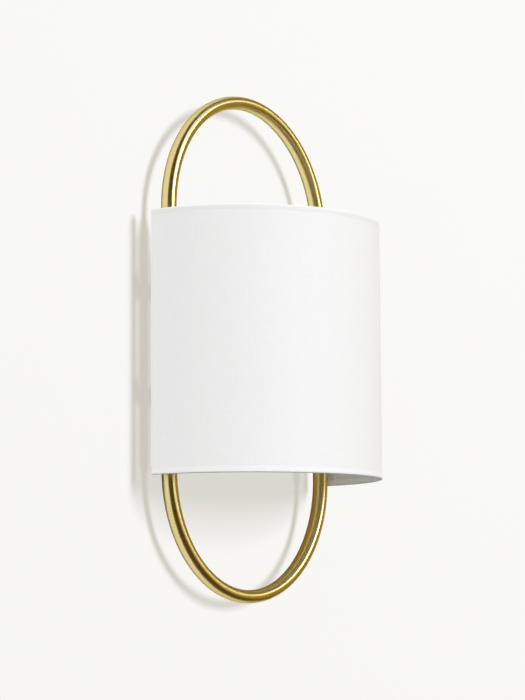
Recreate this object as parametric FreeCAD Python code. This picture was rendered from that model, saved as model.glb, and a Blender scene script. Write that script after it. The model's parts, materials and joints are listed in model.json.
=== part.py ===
import FreeCAD, Part
import math
import os

# A wall light: a brass loop that carries a half-drum fabric shade over a back plate and a lampholder.
# Millimetres. +Z is up, +X is the viewer's right, and the light hangs on a wall whose face is y = 0,
# so everything lies at negative y. The origin is the middle of the fixing strap's slots, level with
# the middle of the loop.

Vec = FreeCAD.Vector
X_DIR = Vec(1, 0, 0)
Y_DIR = Vec(0, 1, 0)
Z_DIR = Vec(0, 0, 1)
SIDES = (-1, 1)

# --- clearances -------------------------------------------------------------------------------------
PIN_FIT = 0.03          # radial gap of a pin in its own hole
SKIN_GAP = 0.1          # gap between curved layers that lie on each other
SEAT_GAP = 0.2          # gap under a piece that lifts off its seat
HOLE_SLACK = 0.15       # radial gap of a screw in a clearance hole

# --- brass loop -------------------------------------------------------------------------------------
LOOP_H = 450.0          # outer height
LOOP_W = 224.0          # outer width
TUBE_W = 11.6           # tube section, along x on the straight sides
TUBE_D = 14.4           # tube section, along y
TUBE_WALL = 1.5
LOOP_OFF_WALL = 24.0    # wall face to the tube's centreline

# --- fixing strap, studs and nuts -------------------------------------------------------------------
STRAP_PAST_STUD = 6.0   # strap's end beyond each stud
STRAP_H = 20.0
STRAP_T = 2.0
STRAP_CORNER_R = 4.0
SLOT_SPACING = 44.0
SLOT_L = 14.0
SLOT_W = 5.0
CABLE_HOLE_R = 6.0
STUD_SPACING = 72.0
STUD_R = 2.0
STUD_PROUD = 4.5        # stud beyond the back plate's front face
NUT_AF = 7.0
NUT_T = 3.2
WASHER_R = 4.5
WASHER_T = 0.8
CAP_NUT_R = 5.0
CAP_NUT_L = 7.5
CAP_NUT_GRIPS = 20
CAP_NUT_GRIP_DEPTH = 0.4

# --- back plate -------------------------------------------------------------------------------------
PLATE_W = 100.0
PLATE_PAST_ARM = 19.0   # plate's foot below the lamp arm
PLATE_T = 1.5
PLATE_EDGE_R = 3.0

# --- crossbars --------------------------------------------------------------------------------------
BAR_Z = 45.0            # height of each crossbar above and below the middle
BAR_H = 14.0
BAR_T = 3.0
BAR_SADDLE = 0.8        # how far the tube sits into the bar
BAR_PAST_HOOK = 0.4     # bar's end beyond the hook's plate
BAR_SCREW_X = 30.0
SCREW_R = 2.0
SCREW_HEAD_R = 4.0
SCREW_HEAD_T = 2.4
SCREW_SLOT_W = 1.0
SCREW_TIP = 1.4         # screw beyond its nut
LOOP_SCREW_REACH = 3.0  # screw tip inside the tube, beyond the tube's wall

# --- lamp arm ---------------------------------------------------------------------------------------
ARM_BELOW_BAR = 2.0     # collar below the lower crossbar
ARM_R = 5.0
ARM_BORE_R = 4.0
ARM_BEND_R = 18.0
ARM_TAIL = 5.0          # arm behind the back plate's inner face
LAMP_Y = -76.0          # lampholder axis
COLLAR_R = 12.0
COLLAR_T = 4.0
LOCK_NUT_AF = 14.0
LOCK_NUT_T = 3.0
LOCK_WASHER_R = 9.0
BUSH_BORE_R = 3.2
BUSH_FLANGE_T = 1.0
BUSH_L = 5.0

# --- lampholder (small screw cap, 14 mm) ------------------------------------------------------------
HOLDER_R = 14.0
HOLDER_WALL = 1.8
HOLDER_NECK_R = 8.0
HOLDER_NECK_H = 8.0
HOLDER_SHOULDER_H = 6.0
HOLDER_CAP_H = 26.0     # base of the cap up to the skirt
HOLDER_SKIRT_H = 22.0
ARM_IN_HOLDER = 10.0
HOLDER_LIP_R = 0.8
CARRIER_T = 8.0
SHELL_SLACK = 0.28      # radial gap of the bulb's thread in the shell
SHELL_T = 0.5
SHELL_FLANGE = 1.3
SHELL_BELOW_RIM = 2.0
TONGUE_W = 4.0
TONGUE_L = 9.0
TONGUE_T = 0.5
TONGUE_RISE = 1.7
POST_X = 6.5            # where a lead enters the contact carrier
POST_BORE_R = 1.2
POST_DEPTH = 4.0
POST_SCREW_R = 1.25
POST_SCREW_HEAD_R = 2.3
POST_SCREW_HEAD_T = 1.4
POST_SCREW_L = 5.0
POST_SCREW_Y = 4.5      # from the lamp's axis
GRUB_R = 1.5

# --- bulb (45 mm globe on a 14 mm screw cap) --------------------------------------------------------
BULB_R = 22.5
BULB_BASE_GAP = 0.3     # base contact above the holder's spring tongue
GLASS_T = 0.8
CONTACT_R = 3.0
CONTACT_TIP_R = 2.1
CONTACT_H = 1.0
INSULATOR_H = 2.6
CAP_CREST_R = 6.92
CAP_THREAD_H = 0.57     # depth of the rolled thread
CAP_CREST_W = 0.56
CAP_PITCH = 2.82
CAP_TURNS = 5
CAP_WALL = 0.5
CAP_FLARE_R = 8.6
CAP_FLARE_H = 4.4
NECK_H = 5.0            # straight glass neck above the cap
NECK_FILLET_R = 13.15   # hollow curve between neck and globe
NECK_SINK = 1.2         # glass inside the cap's flare
STEM_FOOT_H = 1.0
STEM_R = 2.2
STEM_TOP_GAP = 16.0     # stem's top below the bulb's top
FILAMENTS = 4
FILAMENT_R = 0.9
FILAMENT_L = 20.0
FILAMENT_RING_R = 8.0   # feet of the filaments
SUPPORT_R = 0.35

# --- terminal block and leads -----------------------------------------------------------------------
BLOCK_FROM_STUD = 27.0  # block's left edge, inwards of the right-hand stud
BLOCK_Z = 16.0          # bottom edge
BLOCK_D = 17.0
BLOCK_T = 11.0
POLES = 3
POLE_WALL = 0.3         # between a clamp and the fixing screw
CLAMP_R = 2.3
CLAMP_BORE_R = 1.3
CLAMP_INSET = 1.0
BLOCK_SCREW_R = 1.25
BLOCK_SCREW_L = 3.4
BLOCK_SCREW_FROM_EDGE = 4.0
FIX_SCREW_R = 1.4
FIX_SCREW_HEAD_R = 2.2
FIX_SCREW_HEAD_T = 1.2
FIX_SCREW_BITE = 1.0
LEAD_R = 0.9
LEAD_PLUG_IN = 4.0      # lead inside its clamp
LEAD_HALF_GAP = 1.4     # each lead off the arm's centreline
LEAD_BACK_Y = -3.0      # leads run here behind the arm's end
LEAD_TURN_R = 5.0       # bend into the arm
LEAD_DROP = 10.0        # straight run below the strap, of the lead nearest the middle
LEAD_GATHER = 16.0      # the two leads meet this far above the arm
LEAD_WIDE_R = 14.0
LEAD_END_R = 4.0
LEAD_END_RUN = 2.5      # straight run into the contact carrier
EARTH_FROM_STUD = 2.0   # earth stud, inwards of the right-hand stud
EARTH_Z = -24.0
EARTH_STUD_L = 8.0
EARTH_LEAD_ABOVE = 4.0  # the earth lead turns this far above the strap's stud
EARTH_LEAD_BELOW = 6.0  # and this far below it
EARTH_LEAD_R = 9.0      # its bends
EARTH_LEAD_STOP = 1.0   # lead's end above the barrel's foot
TAG_T = 0.8
TAG_RING_R = 4.5
TAG_BARREL_R = 1.6
TAG_BARREL_L = 6.0
TAG_NECK_L = 6.0

# --- shade ------------------------------------------------------------------------------------------
SHADE_PAST_LOOP = 11.6  # outside of the hems beyond the loop's outside
SHADE_TOP = 108.5
SHADE_BOTTOM = -117.5
SHADE_OFF_WALL = 18.0   # wall face to the shade's end edges, which is also the half drum's centre
CLOTH_T = 0.5           # one layer of folded cloth, as in hems and end folds
COVER_T = 0.8
LINER_T = 0.6
HEM_H = 5.5
HEM_FLAT = 0.05         # flat left between the hem's rounded edge and its inside
RING_WIRE_R = 1.5
UPRIGHT_T = 2.0
UPRIGHT_W = 12.0
UPRIGHT_GAP = 0.2       # between the upright's far edge and the liner
FOLD_OUTER_W = 5.0
FOLD_INNER_W = 5.0
HOOK_T = 1.5
HOOK_STANDOFF = 3.1     # hook plate's inner face from the upright's
HOOK_FOOT_W = 5.5
HOOK_H = 16.0
HOOK_ABOVE = 8.0        # hook above the crossbar's top edge
HOOK_SLACK = 0.3        # hook's notch each side of the crossbar
HOOK_PRONG = 1.4

# --- worked-out places ------------------------------------------------------------------------------
LOOP_Y = -LOOP_OFF_WALL
TUBE_BACK_Y = LOOP_Y + TUBE_D / 2
BAR_FRONT_Y = TUBE_BACK_Y - BAR_SADDLE
BAR_BACK_Y = BAR_FRONT_Y + BAR_T
PLATE_FRONT_Y = BAR_BACK_Y
PLATE_INNER_Y = PLATE_FRONT_Y + PLATE_T
LOOP_SIDE_X = (LOOP_W - TUBE_W) / 2
LOOP_STRAIGHT = LOOP_H - LOOP_W
STUD_X = STUD_SPACING / 2
STRAP_L = STUD_SPACING + 2 * STRAP_PAST_STUD
ARM_Z = -(BAR_Z + BAR_H / 2 + ARM_BELOW_BAR + COLLAR_R)
PLATE_H = 2 * (PLATE_PAST_ARM - ARM_Z)
ARM_END_Y = PLATE_INNER_Y + ARM_TAIL
HOLDER_BASE_Z = ARM_Z + ARM_BEND_R
HOLDER_SPLIT_Z = HOLDER_BASE_Z + HOLDER_CAP_H
HOLDER_TOP_Z = HOLDER_SPLIT_Z + HOLDER_SKIRT_H
ARM_TOP_Z = HOLDER_BASE_Z + ARM_IN_HOLDER
CARRIER_TOP_Z = HOLDER_SPLIT_Z
CARRIER_BOTTOM_Z = CARRIER_TOP_Z - CARRIER_T
TONGUE_TOP_Z = CARRIER_TOP_Z + TONGUE_RISE
BULB_BASE_Z = TONGUE_TOP_Z + BULB_BASE_GAP
CAP_FOOT_Z = BULB_BASE_Z + CONTACT_H + INSULATOR_H
THREAD_TOP_Z = CAP_FOOT_Z + CAP_TURNS * CAP_PITCH
CAP_TOP_Z = THREAD_TOP_Z + CAP_FLARE_H
CAP_ROOT_R = CAP_CREST_R - CAP_THREAD_H
SHELL_R_IN = CAP_CREST_R + SHELL_SLACK
NECK_R = CAP_FLARE_R - CAP_WALL - SKIN_GAP
NECK_TOP_Z = CAP_TOP_Z + NECK_H
GLOBE_RISE = math.sqrt((BULB_R + NECK_FILLET_R) ** 2 - (NECK_R + NECK_FILLET_R) ** 2)
GLOBE_Z = NECK_TOP_Z + GLOBE_RISE
BULB_TOP_Z = GLOBE_Z + BULB_R
SHADE_Y = -SHADE_OFF_WALL
SHADE_R = LOOP_W / 2 + SHADE_PAST_LOOP
COVER_R_OUT = SHADE_R - CLOTH_T - SKIN_GAP
COVER_R_IN = COVER_R_OUT - COVER_T
LINER_R_OUT = COVER_R_IN - SKIN_GAP
LINER_R_IN = LINER_R_OUT - LINER_T
RING_R = LINER_R_IN - SKIN_GAP - RING_WIRE_R
HEM_R_IN = RING_R - RING_WIRE_R - SKIN_GAP - CLOTH_T
UPRIGHT_BACK_Y = SHADE_Y - CLOTH_T - SKIN_GAP
UPRIGHT_DEPTH = SHADE_Y - UPRIGHT_BACK_Y + UPRIGHT_W
UPRIGHT_X = math.sqrt(LINER_R_IN ** 2 - UPRIGHT_DEPTH ** 2) - UPRIGHT_GAP - UPRIGHT_T
HOOK_X = UPRIGHT_X - HOOK_STANDOFF
BAR_END_X = HOOK_X + HOOK_T + BAR_PAST_HOOK
POLE_PITCH = 2 * (CLAMP_R + FIX_SCREW_R + POLE_WALL)
BLOCK_X = STUD_X - BLOCK_FROM_STUD
EARTH_X = STUD_X - EARTH_FROM_STUD
BLOCK_BACK_Y = PLATE_INNER_Y + BLOCK_T
POLE_Y = PLATE_INNER_Y + BLOCK_T / 2


# --- shape helpers ----------------------------------------------------------------------------------
def box(x_low, x_high, y_low, y_high, z_low, z_high):
    """A block between two corners."""
    size = (x_high - x_low, y_high - y_low, z_high - z_low)
    return Part.makeBox(*size, Vec(x_low, y_low, z_low))


def rod(radius, start, end):
    """A round bar from one point to another."""
    span = end - start
    return Part.makeCylinder(radius, span.Length, start, span)


def pipe(outer, inner, start, end):
    """A round tube from one point to another."""
    return rod(outer, start, end).cut(rod(inner, start, end))


def hex_bar(across_flats, bore, start, end):
    """A hexagon nut blank along y, with its bore."""
    reach = across_flats / math.sqrt(3)
    angles = [math.radians(60 * i) for i in range(7)]
    corners = [start + Vec(reach * math.cos(a), 0, reach * math.sin(a)) for a in angles]
    blank = Part.Face(Part.makePolygon(corners)).extrude(end - start)
    return blank.cut(rod(bore, start, end))


def stadium(width, height, y_front, depth):
    """An upright pill shape of the given depth, its front face at y_front."""
    radius = width / 2
    rise = height / 2 - radius
    left, right = Vec(-radius, y_front, 0), Vec(radius, y_front, 0)
    up, down = Vec(0, 0, rise), Vec(0, 0, -rise)
    crown, foot = Vec(0, y_front, height / 2), Vec(0, y_front, -height / 2)
    edges = [
        Part.LineSegment(left + down, left + up).toShape(),
        Part.Arc(left + up, crown, right + up).toShape(),
        Part.LineSegment(right + up, right + down).toShape(),
        Part.Arc(right + down, foot, left + down).toShape(),
    ]
    return Part.Face(Part.Wire(edges)).extrude(Vec(0, depth, 0))


def turned(outline, centre_x=0.0, centre_y=LAMP_Y):
    """A solid turned about a vertical axis from (radius, z) points."""
    points = [Vec(centre_x + r, centre_y, z) for r, z in outline]
    face = Part.Face(Part.makePolygon(points + points[:1]))
    return face.revolve(Vec(centre_x, centre_y, 0), Z_DIR, 360)


def half_turned(outline, end_gap=0.0):
    """A half ring about the shade's axis from (radius, z) points, each end cut back by end_gap."""
    points = [Vec(r, SHADE_Y, z) for r, z in outline]
    face = Part.Face(Part.makePolygon(points + points[:1]))
    ring = face.revolve(Vec(0, SHADE_Y, 0), -Z_DIR, 180)
    if end_gap == 0:
        return ring
    keep = box(-SHADE_R, SHADE_R, SHADE_Y - 2 * SHADE_R, SHADE_Y - end_gap, SHADE_BOTTOM, SHADE_TOP)
    return ring.common(keep)


def rectangle(r_low, r_high, z_low, z_high):
    """Corner points of a rectangular section."""
    return [(r_low, z_low), (r_high, z_low), (r_high, z_high), (r_low, z_high)]


def mirrored_x(shape):
    """The same piece on the other side of the light."""
    return shape.mirror(Vec(0, 0, 0), X_DIR)


def group(solids):
    """Several separate solids that share one node."""
    return Part.makeCompound(solids)


def lead(points, radii):
    """A lead whose runs between points are joined by tangent arcs of the given radii."""
    edges = []
    start = points[0]
    for before, corner, after, radius in zip(points, points[1:], points[2:], radii):
        away, onward = (before - corner).normalize(), (after - corner).normalize()
        half_turn = (math.pi - away.getAngle(onward)) / 2
        setback = radius * math.tan(half_turn)
        enter, leave = corner + away * setback, corner + onward * setback
        middle = (away + onward).normalize()
        centre = corner + middle * (radius / math.cos(half_turn))
        crest = centre - middle * radius
        edges.append(Part.LineSegment(start, enter).toShape())
        edges.append(Part.Arc(enter, crest, leave).toShape())
        start = leave
    edges.append(Part.LineSegment(start, points[-1]).toShape())
    path = Part.Wire(edges)
    first_run = points[1] - points[0]
    section = Part.Wire(Part.makeCircle(LEAD_R, points[0], first_run))
    tube = path.makePipeShell([section], True, False)
    expected = math.pi * LEAD_R ** 2 * path.Length
    print("lead length %.1f, volume ratio %.4f, least radius %.1f"
          % (path.Length, tube.Volume / expected, min(radii)))
    return tube


# --- brass loop -------------------------------------------------------------------------------------
def loop_body(half_width, half_depth):
    """The loop as a solid bar of elliptical section."""
    rise = LOOP_STRAIGHT / 2
    side = Vec(LOOP_SIDE_X, LOOP_Y, -rise)
    if half_depth > half_width:
        ellipse = Part.Ellipse(side + Vec(0, half_depth, 0), side + Vec(half_width, 0, 0), side)
    else:
        ellipse = Part.Ellipse(side + Vec(half_width, 0, 0), side + Vec(0, half_depth, 0), side)
    section = Part.Face(Part.Wire(ellipse.toShape()))
    right = section.extrude(Vec(0, 0, LOOP_STRAIGHT))
    bottom = section.revolve(Vec(0, LOOP_Y, -rise), Y_DIR, 180)
    top = bottom.mirror(Vec(0, 0, 0), Z_DIR)
    return right.multiFuse([bottom, mirrored_x(right), top]).removeSplitter()


def loop_screw_points():
    """Where the loop's screws stand, on the tube's centreline."""
    return [Vec(side * LOOP_SIDE_X, 0, level * BAR_Z) for side in SIDES for level in SIDES]


def loop_frame():
    """Oval brass tube, with a hole in its back for each screw."""
    tube = loop_body(TUBE_W / 2, TUBE_D / 2)
    tube = tube.cut(loop_body(TUBE_W / 2 - TUBE_WALL, TUBE_D / 2 - TUBE_WALL))
    for point in loop_screw_points():
        hole = rod(SCREW_R + PIN_FIT, point + Y_DIR * LOOP_Y, point + Y_DIR * TUBE_BACK_Y)
        tube = tube.cut(hole)
    return tube


def loop_screws():
    """Countersunk screws, from behind the crossbars into the tube."""
    screws = []
    for point in loop_screw_points():
        back = point + Y_DIR * BAR_BACK_Y
        neck = back - Y_DIR * (SCREW_HEAD_R - SCREW_R)
        tip = point + Y_DIR * (TUBE_BACK_Y - TUBE_WALL - LOOP_SCREW_REACH)
        head = Part.makeCone(SCREW_R, SCREW_HEAD_R, SCREW_HEAD_R - SCREW_R, neck, Y_DIR)
        screws.append(head.fuse(rod(SCREW_R, tip, back)).removeSplitter())
    return group(screws)


# --- crossbars --------------------------------------------------------------------------------------
def crossbar(level):
    """Flat bar with a saddle and a countersunk hole for the loop at each end."""
    low, high = level * BAR_Z - BAR_H / 2, level * BAR_Z + BAR_H / 2
    bar = box(-BAR_END_X, BAR_END_X, BAR_FRONT_Y, BAR_BACK_Y, low, high)
    bar = bar.cut(loop_body(TUBE_W / 2 + SKIN_GAP, TUBE_D / 2 + SKIN_GAP))
    for side in SIDES:
        seat = Vec(side * LOOP_SIDE_X, BAR_BACK_Y, level * BAR_Z)
        sink = SCREW_HEAD_R - SCREW_R
        cone = Part.makeCone(SCREW_R + PIN_FIT, SCREW_HEAD_R + PIN_FIT, sink, seat - Y_DIR * sink, Y_DIR)
        bar = bar.cut(cone)
        bar = bar.cut(rod(SCREW_R + PIN_FIT, seat - Y_DIR * BAR_T, seat))
        screw = Vec(side * BAR_SCREW_X, BAR_BACK_Y, level * BAR_Z)
        bar = bar.cut(rod(SCREW_R + HOLE_SLACK, screw - Y_DIR * BAR_T, screw))
    return bar


def bar_screw_points():
    """Where the crossbars are screwed to the back plate."""
    return [Vec(side * BAR_SCREW_X, 0, level * BAR_Z) for side in SIDES for level in SIDES]


def crossbar_screws():
    """Pan-head screws through the crossbars and the back plate."""
    screws = []
    for point in bar_screw_points():
        seat = point + Y_DIR * BAR_FRONT_Y
        tip = point + Y_DIR * (PLATE_INNER_Y + NUT_T + SCREW_TIP)
        head = rod(SCREW_HEAD_R, seat - Y_DIR * SCREW_HEAD_T, seat)
        middle_y = seat.y - SCREW_HEAD_T / 2
        crown = [edge for edge in head.Edges if edge.Closed and edge.CenterOfMass.y < middle_y]
        head = head.makeFillet(SCREW_HEAD_T / 2, crown)
        slot_half = SCREW_SLOT_W / 2
        slot = box(seat.x - SCREW_HEAD_R, seat.x + SCREW_HEAD_R, seat.y - SCREW_HEAD_T,
                   seat.y - SCREW_HEAD_T / 2, seat.z - slot_half, seat.z + slot_half)
        screws.append(head.cut(slot).fuse(rod(SCREW_R, seat, tip)).removeSplitter())
    return group(screws)


def crossbar_nuts():
    """Hexagon nuts inside the back plate."""
    starts = [point + Y_DIR * PLATE_INNER_Y for point in bar_screw_points()]
    return group([hex_bar(NUT_AF, SCREW_R + PIN_FIT, start, start + Y_DIR * NUT_T) for start in starts])


# --- wall fixing ------------------------------------------------------------------------------------
def slot_cutter(centre_x):
    """A slot through the strap, along x."""
    reach = (SLOT_L - SLOT_W) / 2
    cutter = box(centre_x - reach, centre_x + reach, -STRAP_T, 0, -SLOT_W / 2, SLOT_W / 2)
    for side in SIDES:
        end = Vec(centre_x + side * reach, 0, 0)
        cutter = cutter.fuse(rod(SLOT_W / 2, end - Y_DIR * STRAP_T, end))
    return cutter


def wall_strap():
    """Flat steel strap with two slots, a cable hole and a hole for each stud."""
    strap = box(-STRAP_L / 2, STRAP_L / 2, -STRAP_T, 0, -STRAP_H / 2, STRAP_H / 2)
    corners = [edge for edge in strap.Edges if abs(edge.Length - STRAP_T) < SKIN_GAP]
    strap = strap.makeFillet(STRAP_CORNER_R, corners)
    strap = strap.cut(rod(CABLE_HOLE_R, Y_DIR * -STRAP_T, Vec(0, 0, 0)))
    for side in SIDES:
        stud = Vec(side * STUD_X, 0, 0)
        strap = strap.cut(slot_cutter(side * SLOT_SPACING / 2))
        strap = strap.cut(rod(STUD_R + PIN_FIT, stud - Y_DIR * STRAP_T, stud))
    return strap


def strap_studs():
    """Studs that stand out of the strap and carry the back plate."""
    tip_y = PLATE_FRONT_Y - STUD_PROUD
    return group([rod(STUD_R, Vec(side * STUD_X, tip_y, 0), Vec(side * STUD_X, 0, 0)) for side in SIDES])


def strap_nuts():
    """Nuts that lock the studs to the strap."""
    nuts = []
    for side in SIDES:
        end = Vec(side * STUD_X, -STRAP_T, 0)
        nuts.append(hex_bar(NUT_AF, STUD_R + PIN_FIT, end - Y_DIR * NUT_T, end))
    return group(nuts)


def cap_nut_washers():
    """Washers between the back plate and the cap nuts."""
    rings = []
    for side in SIDES:
        seat = Vec(side * STUD_X, PLATE_FRONT_Y, 0)
        rings.append(pipe(WASHER_R, STUD_R + HOLE_SLACK, seat - Y_DIR * WASHER_T, seat))
    return group(rings)


def cap_nut(side):
    """Knurled brass nut with a domed end and a blind bore."""
    seat = Vec(side * STUD_X, PLATE_FRONT_Y - WASHER_T, 0)
    nut = rod(CAP_NUT_R, seat - Y_DIR * CAP_NUT_L, seat)
    crown = [edge for edge in nut.Edges if edge.Closed and edge.CenterOfMass.y < seat.y - CAP_NUT_L / 2]
    nut = nut.makeFillet(CAP_NUT_R / 2, crown)
    for i in range(CAP_NUT_GRIPS):
        angle = 2 * math.pi * i / CAP_NUT_GRIPS
        centre = seat + Vec(CAP_NUT_R * math.cos(angle), 0, CAP_NUT_R * math.sin(angle))
        nut = nut.cut(rod(CAP_NUT_GRIP_DEPTH, centre - Y_DIR * CAP_NUT_L / 2, centre))
    bore_l = STUD_PROUD - WASHER_T + SEAT_GAP
    return nut.cut(rod(STUD_R + PIN_FIT, seat - Y_DIR * bore_l, seat))


def cap_nuts():
    """The nuts that hold the back plate on its studs."""
    return group([cap_nut(side) for side in SIDES])


# --- back plate -------------------------------------------------------------------------------------
def back_plate():
    """Pill-shaped brass pan, open to the wall."""
    depth = -PLATE_FRONT_Y
    pan = stadium(PLATE_W, PLATE_H, PLATE_FRONT_Y, depth)
    front = [edge for edge in pan.Edges if abs(edge.CenterOfMass.y - PLATE_FRONT_Y) < SKIN_GAP]
    pan = pan.makeFillet(PLATE_EDGE_R, front)
    hollow = stadium(PLATE_W - 2 * PLATE_T, PLATE_H - 2 * PLATE_T, PLATE_INNER_Y, depth)
    inner = [edge for edge in hollow.Edges if abs(edge.CenterOfMass.y - PLATE_INNER_Y) < SKIN_GAP]
    pan = pan.cut(hollow.makeFillet(PLATE_EDGE_R - PLATE_T, inner))
    for point in bar_screw_points():
        front_point = point + Y_DIR * PLATE_FRONT_Y
        pan = pan.cut(rod(SCREW_R + HOLE_SLACK, front_point, front_point + Y_DIR * PLATE_T))
    for side in SIDES:
        stud = Vec(side * STUD_X, PLATE_FRONT_Y, 0)
        pan = pan.cut(rod(STUD_R + HOLE_SLACK, stud, stud + Y_DIR * PLATE_T))
    arm = Vec(0, PLATE_FRONT_Y, ARM_Z)
    pan = pan.cut(rod(ARM_R + HOLE_SLACK, arm, arm + Y_DIR * PLATE_T))
    pilot = fix_screw_point(PLATE_INNER_Y)
    return pan.cut(rod(FIX_SCREW_R + PIN_FIT, pilot - Y_DIR * FIX_SCREW_BITE, pilot))


# --- lamp arm ---------------------------------------------------------------------------------------
def arm_body(radius):
    """The arm as a solid bar: forward from the back plate, then up to the lampholder."""
    elbow_y = LAMP_Y + ARM_BEND_R
    elbow_z = ARM_Z + ARM_BEND_R
    forward = rod(radius, Vec(0, ARM_END_Y, ARM_Z), Vec(0, elbow_y, ARM_Z))
    disc = Part.Face(Part.Wire(Part.makeCircle(radius, Vec(0, elbow_y, ARM_Z), Y_DIR)))
    bend = disc.revolve(Vec(0, elbow_y, elbow_z), -X_DIR, 90)
    upward = rod(radius, Vec(0, LAMP_Y, elbow_z), Vec(0, LAMP_Y, ARM_TOP_Z))
    return forward.multiFuse([bend, upward]).removeSplitter()


def lamp_arm():
    """Bent brass tube that carries the lampholder and the leads."""
    return arm_body(ARM_R).cut(arm_body(ARM_BORE_R))


def arm_collar():
    """Round collar against the front of the back plate."""
    seat = Vec(0, PLATE_FRONT_Y, ARM_Z)
    disc = rod(COLLAR_R, seat - Y_DIR * COLLAR_T, seat)
    crown = [edge for edge in disc.Edges if edge.Closed and edge.CenterOfMass.y < seat.y - COLLAR_T / 2]
    return disc.makeFillet(COLLAR_T / 2, crown).cut(rod(ARM_R + PIN_FIT, seat - Y_DIR * COLLAR_T, seat))


def arm_lock_washer():
    """Washer inside the back plate."""
    seat = Vec(0, PLATE_INNER_Y, ARM_Z)
    return pipe(LOCK_WASHER_R, ARM_R + HOLE_SLACK, seat, seat + Y_DIR * WASHER_T)


def arm_lock_nut():
    """Thin nut that clamps the arm to the back plate."""
    start = Vec(0, PLATE_INNER_Y + WASHER_T, ARM_Z)
    return hex_bar(LOCK_NUT_AF, ARM_R + PIN_FIT, start, start + Y_DIR * LOCK_NUT_T)


def arm_end_bush():
    """Plastic bush that keeps the tube's edge off the leads."""
    end = Vec(0, ARM_END_Y, ARM_Z)
    flange = rod(ARM_R, end, end + Y_DIR * BUSH_FLANGE_T)
    sleeve = rod(ARM_BORE_R - PIN_FIT, end - Y_DIR * BUSH_L, end)
    bore = rod(BUSH_BORE_R, end - Y_DIR * BUSH_L, end + Y_DIR * BUSH_FLANGE_T)
    return flange.fuse(sleeve).cut(bore)


# --- lampholder -------------------------------------------------------------------------------------
def holder_cap():
    """Lower cup of the lampholder, which screws on to the arm."""
    base, neck = HOLDER_BASE_Z, HOLDER_BASE_Z + HOLDER_NECK_H
    shoulder = neck + HOLDER_SHOULDER_H
    bore = ARM_R + PIN_FIT
    inner = HOLDER_R - HOLDER_WALL
    cup = turned([
        (bore, base), (HOLDER_NECK_R, base), (HOLDER_NECK_R, neck), (HOLDER_R, shoulder),
        (HOLDER_R, HOLDER_SPLIT_Z), (inner, HOLDER_SPLIT_Z), (inner, shoulder + HOLDER_WALL / 2),
        (HOLDER_NECK_R - HOLDER_WALL / 2, neck + HOLDER_WALL), (bore, neck + HOLDER_WALL),
    ])
    level = grub_level()
    return cup.cut(rod(GRUB_R + PIN_FIT, level, level + X_DIR * HOLDER_R))


def grub_level():
    """The grub screw's height, on the lamp's axis."""
    return Vec(0, LAMP_Y, HOLDER_BASE_Z + HOLDER_NECK_H / 2)


def holder_grub_screw():
    """Set screw that locks the lampholder on the arm, a little below the neck's face."""
    level = grub_level()
    return rod(GRUB_R, level + X_DIR * (ARM_R + PIN_FIT), level + X_DIR * (HOLDER_NECK_R - SEAT_GAP))


def holder_contact_carrier():
    """Insulating disc that holds the contacts, with a socket for each lead and its screw."""
    outer = HOLDER_R - HOLDER_WALL - PIN_FIT
    low, high = CARRIER_BOTTOM_Z, CARRIER_TOP_Z
    disc = turned([(0, low), (outer, low), (outer, high), (0, high)])
    for side in SIDES:
        socket = Vec(side * POST_X, LAMP_Y, CARRIER_BOTTOM_Z)
        disc = disc.cut(rod(POST_BORE_R, socket, socket + Z_DIR * POST_DEPTH))
        screw = socket - Y_DIR * POST_SCREW_Y
        disc = disc.cut(rod(POST_SCREW_R + PIN_FIT, screw, screw + Z_DIR * POST_SCREW_L))
    return disc


def holder_terminal_screws():
    """Screws that clamp the leads to the contacts."""
    screws = []
    for side in SIDES:
        seat = Vec(side * POST_X, LAMP_Y - POST_SCREW_Y, CARRIER_BOTTOM_Z)
        head = rod(POST_SCREW_HEAD_R, seat - Z_DIR * POST_SCREW_HEAD_T, seat)
        shank = rod(POST_SCREW_R, seat, seat + Z_DIR * (POST_SCREW_L - SEAT_GAP))
        screws.append(head.fuse(shank).removeSplitter())
    return group(screws)


def holder_screw_shell():
    """Metal shell that takes the bulb's cap, standing on a flange."""
    outer, low = SHELL_R_IN + SHELL_T, CARRIER_TOP_Z
    return turned([
        (SHELL_R_IN, low), (outer + SHELL_FLANGE, low), (outer + SHELL_FLANGE, low + SHELL_T),
        (outer, low + SHELL_T), (outer, HOLDER_TOP_Z - SHELL_BELOW_RIM),
        (SHELL_R_IN, HOLDER_TOP_Z - SHELL_BELOW_RIM),
    ])


def holder_centre_contact():
    """Spring tongue under the bulb, bent up from the carrier."""
    foot_l = TONGUE_L / 3
    start = Vec(-TONGUE_L / 2, LAMP_Y - TONGUE_W / 2, CARRIER_TOP_Z)
    rise = TONGUE_RISE - TONGUE_T
    side = [
        start, start + Vec(foot_l, 0, 0), start + Vec(2 * foot_l, 0, rise), start + Vec(TONGUE_L, 0, rise),
        start + Vec(TONGUE_L, 0, TONGUE_RISE), start + Vec(2 * foot_l, 0, TONGUE_RISE),
        start + Vec(foot_l, 0, TONGUE_T), start + Vec(0, 0, TONGUE_T),
    ]
    return Part.Face(Part.makePolygon(side + side[:1])).extrude(Y_DIR * TONGUE_W)


def holder_skirt():
    """Outer sleeve of the lampholder, turned in at its rim."""
    inner = HOLDER_R - HOLDER_WALL
    lip = HOLDER_TOP_Z - HOLDER_WALL
    return turned([
        (inner, HOLDER_SPLIT_Z), (HOLDER_R, HOLDER_SPLIT_Z), (HOLDER_R, HOLDER_TOP_Z),
        (inner - HOLDER_LIP_R, HOLDER_TOP_Z), (inner - HOLDER_LIP_R, lip), (inner, lip),
    ])


# --- bulb -------------------------------------------------------------------------------------------
def bulb_centre_contact():
    """Solder contact at the foot of the bulb."""
    low, high = BULB_BASE_Z, BULB_BASE_Z + CONTACT_H
    return turned([(0, low), (CONTACT_TIP_R, low), (CONTACT_R, high), (0, high)])


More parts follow.
